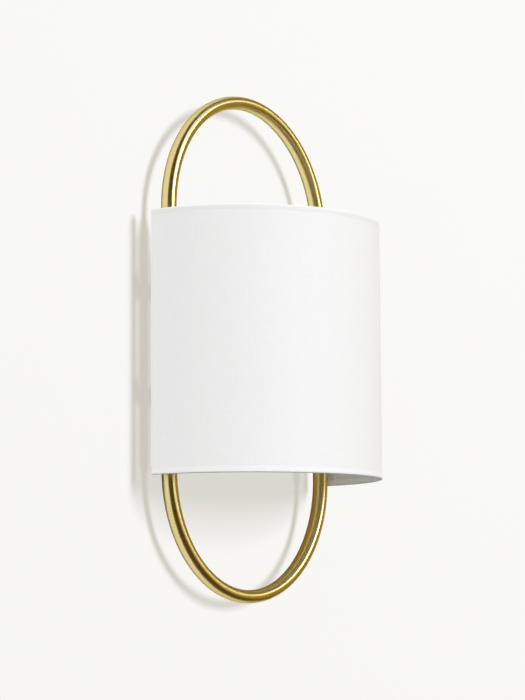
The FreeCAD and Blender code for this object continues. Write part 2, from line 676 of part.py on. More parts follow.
def bulb_insulator():
    """Black glass between the contact and the cap."""
    low = BULB_BASE_Z + CONTACT_H
    return turned([(0, low), (CONTACT_R, low), (CAP_ROOT_R, CAP_FOOT_Z), (0, CAP_FOOT_Z)])


def bulb_cap():
    """Screw cap: a thin shell with rolled turns and a flare that holds the glass."""
    outline = [(CAP_ROOT_R, CAP_FOOT_Z)]
    for i in range(CAP_TURNS):
        turn = CAP_FOOT_Z + i * CAP_PITCH
        outline.append((CAP_CREST_R, turn + (CAP_PITCH - CAP_CREST_W) / 2))
        outline.append((CAP_CREST_R, turn + (CAP_PITCH + CAP_CREST_W) / 2))
        outline.append((CAP_ROOT_R, turn + CAP_PITCH))
    inner = CAP_ROOT_R - CAP_WALL
    flare_z = CAP_TOP_Z - CAP_FLARE_H / 4
    outline += [
        (CAP_FLARE_R, flare_z), (CAP_FLARE_R, CAP_TOP_Z), (CAP_FLARE_R - CAP_WALL, CAP_TOP_Z),
        (CAP_FLARE_R - CAP_WALL, flare_z), (inner, THREAD_TOP_Z), (inner, CAP_FOOT_Z),
    ]
    return turned(outline)


def bulb_profile(inset):
    """Half outline of the glass, from its neck to its crown, moved inwards by inset."""
    ball = BULB_R - inset
    neck = NECK_R - inset
    foot = Vec(neck, LAMP_Y, CAP_TOP_Z - NECK_SINK)
    shoulder = Vec(neck, LAMP_Y, NECK_TOP_Z)
    # the fillet's arc leaves the neck upright and meets the globe at its own tangent
    hub = Vec(NECK_R + NECK_FILLET_R, LAMP_Y, NECK_TOP_Z)
    globe = Vec(0, LAMP_Y, GLOBE_Z)
    meet = globe + (hub - globe).normalize() * ball
    half = math.atan2(GLOBE_RISE, hub.x) / 2
    belly = hub - Vec(math.cos(half), 0, -math.sin(half)) * (NECK_FILLET_R + inset)
    crown = Vec(0, LAMP_Y, BULB_TOP_Z - inset)
    side = globe + Vec(ball, 0, 0)
    return foot, shoulder, belly, meet, side, crown


def glass_solid(inset):
    """The glass's form as a full solid."""
    foot, shoulder, belly, meet, side, crown = bulb_profile(inset)
    axis_foot = Vec(0, LAMP_Y, foot.z)
    edges = [
        Part.LineSegment(axis_foot, foot).toShape(),
        Part.LineSegment(foot, shoulder).toShape(),
        Part.Arc(shoulder, belly, meet).toShape(),
        Part.Arc(meet, side, crown).toShape(),
        Part.LineSegment(crown, axis_foot).toShape(),
    ]
    return Part.Face(Part.Wire(edges)).revolve(axis_foot, Z_DIR, 360)


def bulb_glass():
    """Thin glass globe, open at its neck."""
    return glass_solid(0).cut(glass_solid(GLASS_T))


def bulb_stem():
    """Glass foot and stem that hold the filaments."""
    low = CAP_TOP_Z - NECK_SINK
    top = BULB_TOP_Z - STEM_TOP_GAP
    foot_r = NECK_R - GLASS_T - SKIN_GAP
    foot_top = low + STEM_FOOT_H
    waist = low + NECK_H
    return turned([(0, low), (foot_r, low), (foot_r, foot_top), (STEM_R, waist), (STEM_R, top), (0, top)])


def filament_ends():
    """Foot and head of each filament, leaning outwards at the foot."""
    top = BULB_TOP_Z - STEM_TOP_GAP
    ends = []
    for i in range(FILAMENTS):
        angle = 2 * math.pi * (i + 0.5) / FILAMENTS
        out = Vec(math.cos(angle), math.sin(angle), 0)
        axis = Vec(0, LAMP_Y, top)
        head = axis + out * (STEM_R + FILAMENT_R * 2)
        drop = math.sqrt(FILAMENT_L ** 2 - (FILAMENT_RING_R - STEM_R - FILAMENT_R * 2) ** 2)
        foot = axis + out * FILAMENT_RING_R - Z_DIR * drop
        ends.append((foot, head, out))
    return ends


def bulb_filaments():
    """Straight light-emitting rods round the stem."""
    return group([rod(FILAMENT_R, foot, head) for foot, head, out in filament_ends()])


def bulb_support_wires():
    """Wires from the stem to both ends of each filament."""
    wires = []
    for foot, head, out in filament_ends():
        lean = (head - foot).normalize()
        clear = SUPPORT_R + FILAMENT_R * math.sin(lean.getAngle(Z_DIR)) + PIN_FIT
        for tip in (foot - lean * clear, head + lean * clear):
            root = Vec(0, LAMP_Y, tip.z) + out * (STEM_R + PIN_FIT)
            wires.append(rod(SUPPORT_R, root, tip))
    return group(wires)


# --- terminal block and leads -----------------------------------------------------------------------
def pole_x(i):
    """Middle of one pole of the terminal block."""
    return BLOCK_X + POLE_PITCH * (i + 0.5)


def fix_screw_point(y):
    """The terminal block's fixing screw, between its first two poles."""
    return Vec(BLOCK_X + POLE_PITCH, y, BLOCK_Z + BLOCK_D / 2)


def block_screw_points(y):
    """The six clamping screws."""
    levels = (BLOCK_Z + BLOCK_SCREW_FROM_EDGE, BLOCK_Z + BLOCK_D - BLOCK_SCREW_FROM_EDGE)
    return [Vec(pole_x(i), y, level) for i in range(POLES) for level in levels]


def terminal_block():
    """Nylon housing with a bore for each pole and waists between the poles."""
    right = BLOCK_X + POLES * POLE_PITCH
    block = box(BLOCK_X, right, PLATE_INNER_Y, BLOCK_BACK_Y, BLOCK_Z, BLOCK_Z + BLOCK_D)
    for i in range(POLES):
        start = Vec(pole_x(i), POLE_Y, BLOCK_Z)
        block = block.cut(rod(CLAMP_R + PIN_FIT, start, start + Z_DIR * BLOCK_D))
    for point in block_screw_points(BLOCK_BACK_Y):
        block = block.cut(rod(BLOCK_SCREW_R + HOLE_SLACK, Vec(point.x, POLE_Y, point.z), point))
    for i in range(1, POLES):
        waist = Vec(BLOCK_X + i * POLE_PITCH, PLATE_INNER_Y, BLOCK_Z)
        for level in (0, BLOCK_D):
            start = waist + Z_DIR * level
            block = block.cut(rod(FIX_SCREW_R, start, start + Y_DIR * BLOCK_T))
    fix = fix_screw_point(BLOCK_BACK_Y)
    return block.cut(rod(FIX_SCREW_R + PIN_FIT, fix - Y_DIR * BLOCK_T, fix))


def terminal_clamps():
    """Brass tubes that join the supply's wires to the leads."""
    clamps = []
    for i in range(POLES):
        low = Vec(pole_x(i), POLE_Y, BLOCK_Z + CLAMP_INSET)
        high = low + Z_DIR * (BLOCK_D - 2 * CLAMP_INSET)
        clamp = pipe(CLAMP_R, CLAMP_BORE_R, low, high)
        for point in block_screw_points(BLOCK_BACK_Y):
            if abs(point.x - low.x) < CLAMP_R:
                seat = Vec(point.x, POLE_Y, point.z)
                clamp = clamp.cut(rod(BLOCK_SCREW_R + PIN_FIT, seat, point))
        clamps.append(clamp)
    return group(clamps)


def terminal_screws():
    """Clamping screws, let into the back of the block."""
    tips = block_screw_points(POLE_Y + LEAD_R + SKIN_GAP)
    return group([rod(BLOCK_SCREW_R, tip, tip + Y_DIR * BLOCK_SCREW_L) for tip in tips])


def terminal_block_screw():
    """Screw that fixes the block to the back plate."""
    seat = fix_screw_point(BLOCK_BACK_Y)
    tip = fix_screw_point(PLATE_INNER_Y - FIX_SCREW_BITE)
    head = rod(FIX_SCREW_HEAD_R, seat, seat + Y_DIR * FIX_SCREW_HEAD_T)
    return head.fuse(rod(FIX_SCREW_R, tip, seat)).removeSplitter()


def lamp_lead(pole, side):
    """A lead from its pole, through the arm, to its socket in the contact carrier."""
    x_block = pole_x(pole)
    x_arm = side * LEAD_HALF_GAP
    top = BLOCK_Z + LEAD_PLUG_IN
    leave_z = -STRAP_H / 2 - LEAD_DROP
    gather_z = ARM_Z + LEAD_GATHER
    points = [
        Vec(x_block, POLE_Y, top),
        Vec(x_block, POLE_Y, leave_z),
        Vec(x_arm, LEAD_BACK_Y, gather_z),
        Vec(x_arm, LEAD_BACK_Y, ARM_Z),
        Vec(x_arm, LAMP_Y, ARM_Z),
        Vec(x_arm, LAMP_Y, ARM_TOP_Z),
        Vec(side * POST_X, LAMP_Y, CARRIER_BOTTOM_Z - LEAD_END_RUN),
        Vec(side * POST_X, LAMP_Y, CARRIER_BOTTOM_Z + POST_DEPTH - SEAT_GAP),
    ]
    return lead(points, [LEAD_WIDE_R, LEAD_WIDE_R, LEAD_TURN_R, ARM_BEND_R, LEAD_END_R, LEAD_END_R])


def earth_lead():
    """The lead from the earth pole to the ring tag."""
    barrel = tag_barrel_ends()
    points = [
        Vec(pole_x(POLES - 1), POLE_Y, BLOCK_Z + LEAD_PLUG_IN),
        Vec(pole_x(POLES - 1), POLE_Y, STUD_R + EARTH_LEAD_ABOVE),
        Vec(EARTH_X, barrel[1].y, -STUD_R - EARTH_LEAD_BELOW),
        barrel[0] + Z_DIR * EARTH_LEAD_STOP,
    ]
    return lead(points, [EARTH_LEAD_R, EARTH_LEAD_R])


def tag_barrel_ends():
    """Both ends of the ring tag's barrel."""
    low = Vec(EARTH_X, PLATE_INNER_Y + TAG_BARREL_R, EARTH_Z + TAG_NECK_L)
    return low, low + Z_DIR * TAG_BARREL_L


def earth_stud():
    """Stud brazed to the inside of the back plate."""
    foot = Vec(EARTH_X, PLATE_INNER_Y, EARTH_Z)
    return rod(STUD_R, foot, foot + Y_DIR * EARTH_STUD_L)


def earth_tag():
    """Ring tag crimped on the earth lead."""
    foot = Vec(EARTH_X, PLATE_INNER_Y, EARTH_Z)
    low, high = tag_barrel_ends()
    ring = rod(TAG_RING_R, foot, foot + Y_DIR * TAG_T)
    left, right = EARTH_X - TAG_BARREL_R, EARTH_X + TAG_BARREL_R
    neck = box(left, right, foot.y, foot.y + TAG_T, EARTH_Z, low.z + TAG_BARREL_R)
    tag = ring.fuse(neck).fuse(rod(TAG_BARREL_R, low, high)).removeSplitter()
    tag = tag.cut(rod(LEAD_R + PIN_FIT, low, high))
    return tag.cut(rod(STUD_R + PIN_FIT, foot, foot + Y_DIR * TAG_T))


def earth_nut():
    """Nut that clamps the ring tag."""
    start = Vec(EARTH_X, PLATE_INNER_Y + TAG_T, EARTH_Z)
    return hex_bar(NUT_AF, STUD_R + PIN_FIT, start, start + Y_DIR * NUT_T)


# --- shade ------------------------------------------------------------------------------------------
def shade_cover():
    """Woven cover of the half drum."""
    inset = CLOTH_T + SKIN_GAP
    return half_turned(rectangle(COVER_R_IN, COVER_R_OUT, SHADE_BOTTOM + inset, SHADE_TOP - inset), inset)


def shade_liner():
    """Smooth white liner behind the cover."""
    inset = CLOTH_T + SKIN_GAP
    return half_turned(rectangle(LINER_R_IN, LINER_R_OUT, SHADE_BOTTOM + inset, SHADE_TOP - inset), inset)


def hem(edge_z, inward):
    """Cloth rolled over one edge: a leg outside, a leg inside and a web between them."""
    foot = edge_z + inward * HEM_H
    web = edge_z + inward * CLOTH_T
    channel = half_turned([
        (HEM_R_IN, foot), (HEM_R_IN + CLOTH_T, foot), (HEM_R_IN + CLOTH_T, web),
        (SHADE_R - CLOTH_T, web), (SHADE_R - CLOTH_T, foot), (SHADE_R, foot),
        (SHADE_R, edge_z), (HEM_R_IN, edge_z),
    ])
    rim = [edge for edge in channel.Edges
           if abs(edge.BoundBox.ZMin - edge_z) + abs(edge.BoundBox.ZMax - edge_z) < SKIN_GAP
           and edge.Length > SHADE_R]
    return channel.makeFillet(CLOTH_T - HEM_FLAT, rim)


def ring_wire(edge_z, inward):
    """Half ring of wire inside one hem."""
    level = edge_z + inward * (CLOTH_T + SKIN_GAP + RING_WIRE_R)
    start = Vec(RING_R, SHADE_Y, level)
    disc = Part.Face(Part.Wire(Part.makeCircle(RING_WIRE_R, start, Y_DIR)))
    ring = disc.revolve(Vec(0, SHADE_Y, 0), -Z_DIR, 180)
    front = SHADE_Y - 2 * SHADE_R
    return ring.common(box(-SHADE_R, SHADE_R, front, UPRIGHT_BACK_Y, SHADE_BOTTOM, SHADE_TOP))


def upright_levels():
    """Foot and top of the end uprights, between the two ring wires."""
    inset = CLOTH_T + SKIN_GAP + 2 * RING_WIRE_R
    return SHADE_BOTTOM + inset, SHADE_TOP - inset


def end_upright():
    """Flat steel strip at the right-hand end of the shade."""
    low, high = upright_levels()
    front = UPRIGHT_BACK_Y - UPRIGHT_W
    return box(UPRIGHT_X, UPRIGHT_X + UPRIGHT_T, front, UPRIGHT_BACK_Y, low, high)


def end_fold():
    """Cloth folded round the right-hand end, between the hems."""
    low, high = SHADE_BOTTOM + HEM_H + SKIN_GAP, SHADE_TOP - HEM_H - SKIN_GAP
    inner_x = UPRIGHT_X - SKIN_GAP - CLOTH_T
    far = SHADE_Y - FOLD_OUTER_W
    outer = half_turned(rectangle(SHADE_R - CLOTH_T, SHADE_R, low, high))
    outer = outer.common(box(inner_x, SHADE_R, far, SHADE_Y, low, high))
    disc = rod(SHADE_R, Vec(0, SHADE_Y, low), Vec(0, SHADE_Y, high))
    web = box(inner_x, SHADE_R, SHADE_Y - CLOTH_T, SHADE_Y, low, high).common(disc)
    inner = box(inner_x, inner_x + CLOTH_T, SHADE_Y - FOLD_INNER_W, SHADE_Y, low, high)
    return outer.multiFuse([web, inner]).removeSplitter()


def hook(level):
    """Right-hand hook: a plate notched over the crossbar's end, on a foot against the upright."""
    seat_z = level * BAR_Z + BAR_H / 2 + SEAT_GAP
    high = seat_z + HOOK_ABOVE
    low = high - HOOK_H
    front = UPRIGHT_BACK_Y - UPRIGHT_W
    back = BAR_BACK_Y + HOOK_SLACK + HOOK_PRONG
    plate = box(HOOK_X, HOOK_X + HOOK_T, front, back, low, high)
    foot = box(HOOK_X, UPRIGHT_X, front, front + HOOK_FOOT_W, low, high)
    notch = box(HOOK_X, UPRIGHT_X, BAR_FRONT_Y - HOOK_SLACK, BAR_BACK_Y + HOOK_SLACK, low, seat_z)
    return plate.fuse(foot).removeSplitter().cut(notch)


def shade_hooks():
    """The four hooks that hang the shade on the crossbars."""
    right = [hook(level) for level in SIDES]
    return group(right + [mirrored_x(one) for one in right])


# --- the part ---------------------------------------------------------------------------------------
NODES = {
    "wall_strap": wall_strap,
    "strap_studs": strap_studs,
    "strap_nuts": strap_nuts,
    "back_plate": back_plate,
    "cap_nut_washers": cap_nut_washers,
    "cap_nuts": cap_nuts,
    "upper_crossbar": lambda: crossbar(1),
    "lower_crossbar": lambda: crossbar(-1),
    "crossbar_screws": crossbar_screws,
    "crossbar_nuts": crossbar_nuts,
    "loop_frame": loop_frame,
    "loop_screws": loop_screws,
    "lamp_arm": lamp_arm,
    "arm_collar": arm_collar,
    "arm_lock_washer": arm_lock_washer,
    "arm_lock_nut": arm_lock_nut,
    "arm_end_bush": arm_end_bush,
    "holder_cap": holder_cap,
    "holder_grub_screw": holder_grub_screw,
    "holder_contact_carrier": holder_contact_carrier,
    "holder_terminal_screws": holder_terminal_screws,
    "holder_screw_shell": holder_screw_shell,
    "holder_centre_contact": holder_centre_contact,
    "holder_skirt": holder_skirt,
    "terminal_block": terminal_block,
    "terminal_clamps": terminal_clamps,
    "terminal_screws": terminal_screws,
    "terminal_block_screw": terminal_block_screw,
    "live_lead": lambda: lamp_lead(0, -1),
    "neutral_lead": lambda: lamp_lead(1, 1),
    "earth_lead": earth_lead,
    "earth_stud": earth_stud,
    "earth_tag": earth_tag,
    "earth_nut": earth_nut,
    "bulb_centre_contact": bulb_centre_contact,
    "bulb_insulator": bulb_insulator,
    "bulb_cap": bulb_cap,
    "bulb_glass": bulb_glass,
    "bulb_stem": bulb_stem,
    "bulb_filaments": bulb_filaments,
    "bulb_support_wires": bulb_support_wires,
    "shade_cover": shade_cover,
    "shade_liner": shade_liner,
    "top_hem": lambda: hem(SHADE_TOP, -1),
    "bottom_hem": lambda: hem(SHADE_BOTTOM, 1),
    "top_ring_wire": lambda: ring_wire(SHADE_TOP, -1),
    "bottom_ring_wire": lambda: ring_wire(SHADE_BOTTOM, 1),
    "right_end_upright": end_upright,
    "left_end_upright": lambda: mirrored_x(end_upright()),
    "right_end_fold": end_fold,
    "left_end_fold": lambda: mirrored_x(end_fold()),
    "shade_hooks": shade_hooks,
}

os.makedirs("parts", exist_ok=True)
for name, make in NODES.items():
    shape = make()
    shape.exportStep("parts/" + name + ".step")
    print("%-24s solids %d valid %s volume %.1f" % (name, len(shape.Solids), shape.isValid(), shape.Volume))
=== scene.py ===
"""Looks for the fabric shade wall light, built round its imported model.

Everything is in metres, in the model's frame: X to the right, Y into the wall, Z up.
"""

import json
import math

import bmesh
import bpy
from mathutils import Matrix, Vector, noise

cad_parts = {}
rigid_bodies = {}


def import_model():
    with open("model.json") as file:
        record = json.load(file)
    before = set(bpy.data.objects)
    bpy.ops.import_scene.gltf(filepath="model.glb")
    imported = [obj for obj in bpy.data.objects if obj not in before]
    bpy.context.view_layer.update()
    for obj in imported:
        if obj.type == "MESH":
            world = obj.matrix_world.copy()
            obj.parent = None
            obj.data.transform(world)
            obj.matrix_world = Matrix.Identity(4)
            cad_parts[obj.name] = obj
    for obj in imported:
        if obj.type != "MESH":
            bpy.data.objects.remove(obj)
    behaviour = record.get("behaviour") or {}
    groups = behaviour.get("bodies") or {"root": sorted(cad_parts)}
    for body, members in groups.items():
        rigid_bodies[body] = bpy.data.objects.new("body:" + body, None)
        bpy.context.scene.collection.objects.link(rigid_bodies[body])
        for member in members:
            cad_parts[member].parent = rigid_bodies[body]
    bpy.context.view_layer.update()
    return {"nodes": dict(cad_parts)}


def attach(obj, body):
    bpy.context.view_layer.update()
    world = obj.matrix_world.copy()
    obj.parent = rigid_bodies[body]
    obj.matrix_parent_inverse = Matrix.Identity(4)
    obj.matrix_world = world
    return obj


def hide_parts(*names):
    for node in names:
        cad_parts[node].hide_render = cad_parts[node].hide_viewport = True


for leftover in list(bpy.data.objects):
    bpy.data.objects.remove(leftover)
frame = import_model()
NODES = frame["nodes"]
scene = bpy.context.scene

# ---- the loop's own sizes, which its brushing and its shadow follow --------------------------

LOOP_H = 0.45
LOOP_W = 0.224
TUBE_W = 0.0116
LOOP_Y = -0.024
LOOP_BEND_R = (LOOP_W - TUBE_W) / 2
LOOP_BEND_Z = (LOOP_H - LOOP_W) / 2

# ---- camera ---------------------------------------------------------------------------------

IMAGE_HEIGHT = 700
SENSOR = 36.0
FOCAL_PIXELS = 2363.06
CLIP_START = 0.01
CAMERA_PLACE = Vector((-1.62365, -1.32050, -0.24058))
CAMERA_YAW = math.radians(51.769)
CAMERA_PITCH = math.radians(6.549)
CAMERA_ROLL = math.radians(-0.3515)


def camera_matrix():
    """Looks along yaw and pitch, turned by the roll about the line of sight."""
    flat = math.cos(CAMERA_PITCH)
    forward = Vector((math.sin(CAMERA_YAW) * flat, math.cos(CAMERA_YAW) * flat, math.sin(CAMERA_PITCH)))
    level = Vector((math.cos(CAMERA_YAW), -math.sin(CAMERA_YAW), 0.0))
    up = level.cross(forward)
    right = math.cos(CAMERA_ROLL) * level + math.sin(CAMERA_ROLL) * up
    up = right.cross(forward)
    turned = Matrix((right, up, -forward)).transposed().to_4x4()
    return Matrix.Translation(CAMERA_PLACE) @ turned


def add_camera():
    lens = bpy.data.cameras.new("camera")
    lens.sensor_width = SENSOR
    lens.lens = FOCAL_PIXELS * SENSOR / IMAGE_HEIGHT
    lens.clip_start = CLIP_START
    camera = bpy.data.objects.new("camera", lens)
    scene.collection.objects.link(camera)
    camera.matrix_world = camera_matrix()
    scene.camera = camera


# ---- node trees -----------------------------------------------------------------------------

NOISE_LOW = 0.3  # a noise mostly stays between these two values
NOISE_HIGH = 0.7


class Tree:
    """Adds shader nodes one by one; each call gives the new node's output socket."""

    def __init__(self, tree):
        self.tree = tree

    def put(self, socket, value):
        if isinstance(value, bpy.types.NodeSocket):
            self.tree.links.new(value, socket)
        else:
            socket.default_value = value

    def node(self, kind, inputs=(), **settings):
        made = self.tree.nodes.new(kind)
        for key, value in settings.items():
            setattr(made, key, value)
        for key, value in dict(inputs).items():
            self.put(made.inputs[key], value)
        return made

    def math(self, operation, *values, clamp=False):
        made = self.node("ShaderNodeMath", operation=operation, use_clamp=clamp)
        for socket, value in zip(made.inputs, values):
            self.put(socket, value)
        return made.outputs[0]

    def off(self, value, middle):
        """How far a value lies from the middle, either way."""
        return self.math("ABSOLUTE", self.math("SUBTRACT", value, middle))

    def vector(self, operation, *values):
        made = self.node("ShaderNodeVectorMath", operation=operation)
        sockets = [made.inputs[0], made.inputs["Scale"]] if operation == "SCALE" else made.inputs
        for socket, value in zip(sockets, values):
            self.put(socket, value)
        return made.outputs["Value" if operation == "DOT_PRODUCT" else "Vector"]

    def xyz(self, x, y, z):
        return self.node("ShaderNodeCombineXYZ", {"X": x, "Y": y, "Z": z}).outputs[0]

    def parts(self, vector):
        return self.node("ShaderNodeSeparateXYZ", {"Vector": vector}).outputs

    def place(self, output="Object"):
        return self.node("ShaderNodeTexCoord").outputs[output]

    def noise(self, vector, scale=1.0, detail=2.0, roughness=0.5):
        inputs = {"Vector": vector, "Scale": scale, "Detail": detail, "Roughness": roughness}
        return self.node("ShaderNodeTexNoise", inputs).outputs["Fac"]

    def between(self, value, low, high, start=0.0, end=1.0, smooth=False):
        """Maps low..high onto start..end, clamped."""
        made = self.node("ShaderNodeMapRange", {0: value, 1: low, 2: high, 3: start, 4: end})
        if smooth:
            made.interpolation_type = "SMOOTHSTEP"
        return made.outputs[0]

    def spread(self, grain, start=0.0, end=1.0):
        """Maps the values that a noise mostly takes onto start..end."""
        return self.between(grain, NOISE_LOW, NOISE_HIGH, start, end)

    def mix(self, share, first, second):
        made = self.node("ShaderNodeMix", {0: share, 6: first, 7: second}, data_type="RGBA")
        return made.outputs[2]

    def bump(self, height, distance, strength=1.0):
        inputs = {"Height": height, "Distance": distance, "Strength": strength}
        return self.node("ShaderNodeBump", inputs).outputs[0]


def colour(red, green, blue):
    return (red, green, blue, 1.0)


def new_material(name):
    """A material with its tree and its Principled shader."""
    material = bpy.data.materials.new(name)
    material.use_nodes = True
    tree = Tree(material.node_tree)
    return material, tree, material.node_tree.nodes["Principled BSDF"]


def set_up(shader, tree, **values):
    """Fills the shader's sockets, each named with an underscore for every blank."""
    for key, value in values.items():
        tree.put(shader.inputs[key.replace("_", " ")], value)


# ---- lamps ----------------------------------------------------------------------------------

KEY_FROM = Vector((0.19, -1.0, 0.43)).normalized()
KEY_LIGHT = 0.372
WALL_KEY_FROM = Vector((0.16, -1.0, 0.25)).normalized()
WALL_KEY_LIGHT = 8.0
LAMP_AWAY = 8.0
LAMP_WIDTH = 2.1
WALL_LAMP_WIDTH = 1.4
LAMP_HEIGHT = 2.7
THROUGH_CLOTH = 0.31

SHADOW_LOOP_R = 0.0031
SHADOW_LOOP_WIDER = 1.85  # on the sides, so that the crossbars' ends make no notches in its shadow
SHADOW_LOOP_WIDE_Z = 0.10
SHADOW_LOOP_STEPS = 64


def linked(name, things, state="INCLUDE"):
    """A collection that says which objects a lamp reaches or is held back by."""
    made = bpy.data.collections.new(name)
    for thing in things:
        made.objects.link(thing)
    for held in made.collection_objects:
        held.light_linking.link_state = state
    return made


def hide_from(thing, *rays):
    """Hides an object from the named kinds of ray."""
    for ray in rays:
        setattr(thing, "visible_" + ray, False)


def add_lamp(name, source, light, width, reached, passed=None):
    """A tall soft box. light is what white paint that faces it gives back."""
    lamp = bpy.data.lights.new(name, "AREA")
    lamp.shape = "RECTANGLE"
    lamp.size = width
    lamp.size_y = LAMP_HEIGHT
    lamp.energy = light * math.pi * math.pi * LAMP_AWAY**2
    made = bpy.data.objects.new(name, lamp)
    made.rotation_mode = "QUATERNION"
    made.rotation_quaternion = source.to_track_quat("Z", "Y")
    made.location = source * LAMP_AWAY
    made.light_linking.receiver_collection = reached
    made.light_linking.blocker_collection = passed
    hide_from(made, "camera")
    scene.collection.objects.link(made)


def add_lamps(sheer):
    """A key light for the object and one for the wall. A share of each passes the thin white cloth.

    The brass loop lets the wall's light pass too, because the thin ring inside it throws the shadow.
    """
    wall = [bpy.data.objects["wall"]]
    loop = [NODES["loop_frame"]]
    for name, source, light, width, reached, spared in (
        ("key", KEY_FROM, KEY_LIGHT, LAMP_WIDTH, linked("object_key", wall, "EXCLUDE"), []),
        ("wall_key", WALL_KEY_FROM, WALL_KEY_LIGHT, WALL_LAMP_WIDTH, linked("wall_key", wall), loop),
    ):
        passed = linked(name + "_passes", spared, "EXCLUDE") if spared else None
        sheer_passed = linked(name + "_passes_cloth", [*sheer, *spared], "EXCLUDE")
        add_lamp(name, source, light * (1.0 - THROUGH_CLOTH), width, reached, passed)
        add_lamp(name + "_through_cloth", source, light * THROUGH_CLOTH, width, reached, sheer_passed)


def shadow_loop_points():
    """The thin ring's way round, as (x, z, share of its radius)."""
    points = []
    for middle, start in ((LOOP_BEND_Z, 0.0), (-LOOP_BEND_Z, math.pi)):
        for step in range(SHADOW_LOOP_STEPS + 1):
            turn = start + math.pi * step / SHADOW_LOOP_STEPS
            points.append((LOOP_BEND_R * math.cos(turn), middle + LOOP_BEND_R * math.sin(turn), 1.0))
        side = points[-1][0]
        near = math.copysign(SHADOW_LOOP_WIDE_Z, middle)
        points += [(side, near, SHADOW_LOOP_WIDER), (side, -near, SHADOW_LOOP_WIDER)]
    return points


def add_shadow_loop():
    """A thin ring hidden inside the brass tube. Its shadow on the wall is narrower than the tube's."""
    points = shadow_loop_points()
    curve = bpy.data.curves.new("shadow_loop", "CURVE")
    curve.dimensions = "3D"
    curve.bevel_depth = SHADOW_LOOP_R
    line = curve.splines.new("POLY")
    line.points.add(len(points) - 1)
    for point, (x, z, wider) in zip(line.points, points):
        point.co = (x, LOOP_Y, z, 1.0)
        point.radius = wider
    line.use_cyclic_u = True
    ring = bpy.data.objects.new("shadow_loop", curve)
    scene.collection.objects.link(ring)
    hide_from(ring, "camera", "diffuse", "glossy", "transmission")


# ---- the room that metal mirrors, and the even light ------------------------------------------

# An EDGE is where a blend starts and ends. Azimuths and elevations are in degrees, and the edges
# of what is behind, of the back light and of the floor are shares of a direction along Y or Z.
ROOM_DARK = colour(0.075, 0.042, 0.001)
ROOM_FRONT = colour(0.28, 0.185, 0.04)
ROOM_RIGHT = colour(0.45, 0.31, 0.09)
ROOM_BEHIND = colour(0.62, 0.61, 0.58)
ROOM_LEFT_EDGE = (-128, -116)
ROOM_RIGHT_EDGE = (-75, -55)
ROOM_BACK_EDGE = (0.02, 0.3)
ROOM_BAND_ELEVATION = 2.0
ROOM_BAND_EDGE = (42, 22)
WINDOW = colour(2.6, 2.8, 4.0)
WINDOW_AZIMUTH = -96.0
WINDOW_AZIMUTH_EDGE = (22, 13)
WINDOW_ELEVATION = 28.0
WINDOW_ELEVATION_EDGE = (38, 24)

NONE = colour(0.0, 0.0, 0.0)
PALE = colour(0.947, 0.940, 0.922)
ROOM_LIGHT = colour(0.842, 0.842, 0.843)
BACK_LIGHT = colour(0.50, 0.499, 0.495)
BACK_LIGHT_EDGE = (-0.15, 0.15)
FILL_FROM = Vector((-0.914, 0.407, 0.0))
FILL_LIGHT = colour(0.928, 0.928, 0.926)
FILL_SPREAD = 1.85
FLOOR_SHARE = 0.2
FLOOR_EDGE = (-0.55, -0.05)


def studio(tree, direction):
    """What metal mirrors: a warm dim room, brighter to the right and behind, and a soft window."""
    x, y, z = tree.parts(direction)
    azimuth = tree.math("DEGREES", tree.math("ARCTAN2", y, x))
    elevation = tree.math("DEGREES", tree.math("ARCSINE", z))
    in_band = tree.between(tree.off(elevation, ROOM_BAND_ELEVATION), *ROOM_BAND_EDGE, smooth=True)
    seen = tree.mix(tree.between(azimuth, *ROOM_RIGHT_EDGE), ROOM_FRONT, ROOM_RIGHT)
    seen = tree.mix(tree.between(azimuth, *ROOM_LEFT_EDGE), ROOM_DARK, seen)
    seen = tree.mix(in_band, ROOM_DARK, seen)
    seen = tree.mix(tree.between(y, *ROOM_BACK_EDGE), seen, ROOM_BEHIND)
    across = tree.between(tree.off(azimuth, WINDOW_AZIMUTH), *WINDOW_AZIMUTH_EDGE, smooth=True)
    along = tree.between(tree.off(elevation, WINDOW_ELEVATION), *WINDOW_ELEVATION_EDGE, smooth=True)
    return tree.mix(tree.math("MULTIPLY", across, along), seen, WINDOW)


def even_light(tree, direction):
    """The room's light on cloth and paint: dimmer from behind and below, with a fill from the left."""
    _, y, z = tree.parts(direction)
    light = tree.mix(tree.between(y, *BACK_LIGHT_EDGE), ROOM_LIGHT, BACK_LIGHT)
    towards = tree.math("MAXIMUM", tree.vector("DOT_PRODUCT", direction, FILL_FROM), 0.0)
    fill = tree.mix(tree.math("POWER", towards, FILL_SPREAD), NONE, FILL_LIGHT)
    share = tree.between(z, *FLOOR_EDGE, FLOOR_SHARE, 1.0)
    return tree.vector("SCALE", tree.vector("ADD", light, fill), share)


def set_world():
    """Even light for cloth and paint, a studio for gloss, and white where the camera sees nothing."""
    world = bpy.data.worlds.new("world")
    scene.world = world
    world.use_nodes = True
    tree = Tree(world.node_tree)
    direction = tree.place("Generated")
    ray = tree.node("ShaderNodeLightPath").outputs
    light = tree.mix(ray["Is Glossy Ray"], even_light(tree, direction), studio(tree, direction))
    straight = tree.math("ADD", ray["Is Camera Ray"], ray["Is Transmission Ray"], clamp=True)
    light = tree.mix(straight, light, PALE)
    tree.put(world.node_tree.nodes["Background"].inputs["Color"], light)


# ---- wall and floor -------------------------------------------------------------------------

WALL_Y = 0.0004
FLOOR_Z = -1.2
STAGE_X = 4.0
STAGE_TOP = 3.0
STAGE_FRONT = -5.0
STAGE_GRAIN = 900
STAGE_GRAIN_DEPTH = 0.00002
STAGE_ROUGH = 0.95
WALL_PAINT = colour(0.0442, 0.0470, 0.0525)
WALL_GLOW = colour(0.586, 0.557, 0.491)
WALL_MIRRORED = colour(0.1165, 0.1155, 0.1400)
FLOOR_PAINT = colour(0.20, 0.20, 0.195)
FLOOR_GLOW = colour(0.765, 0.760, 0.745)

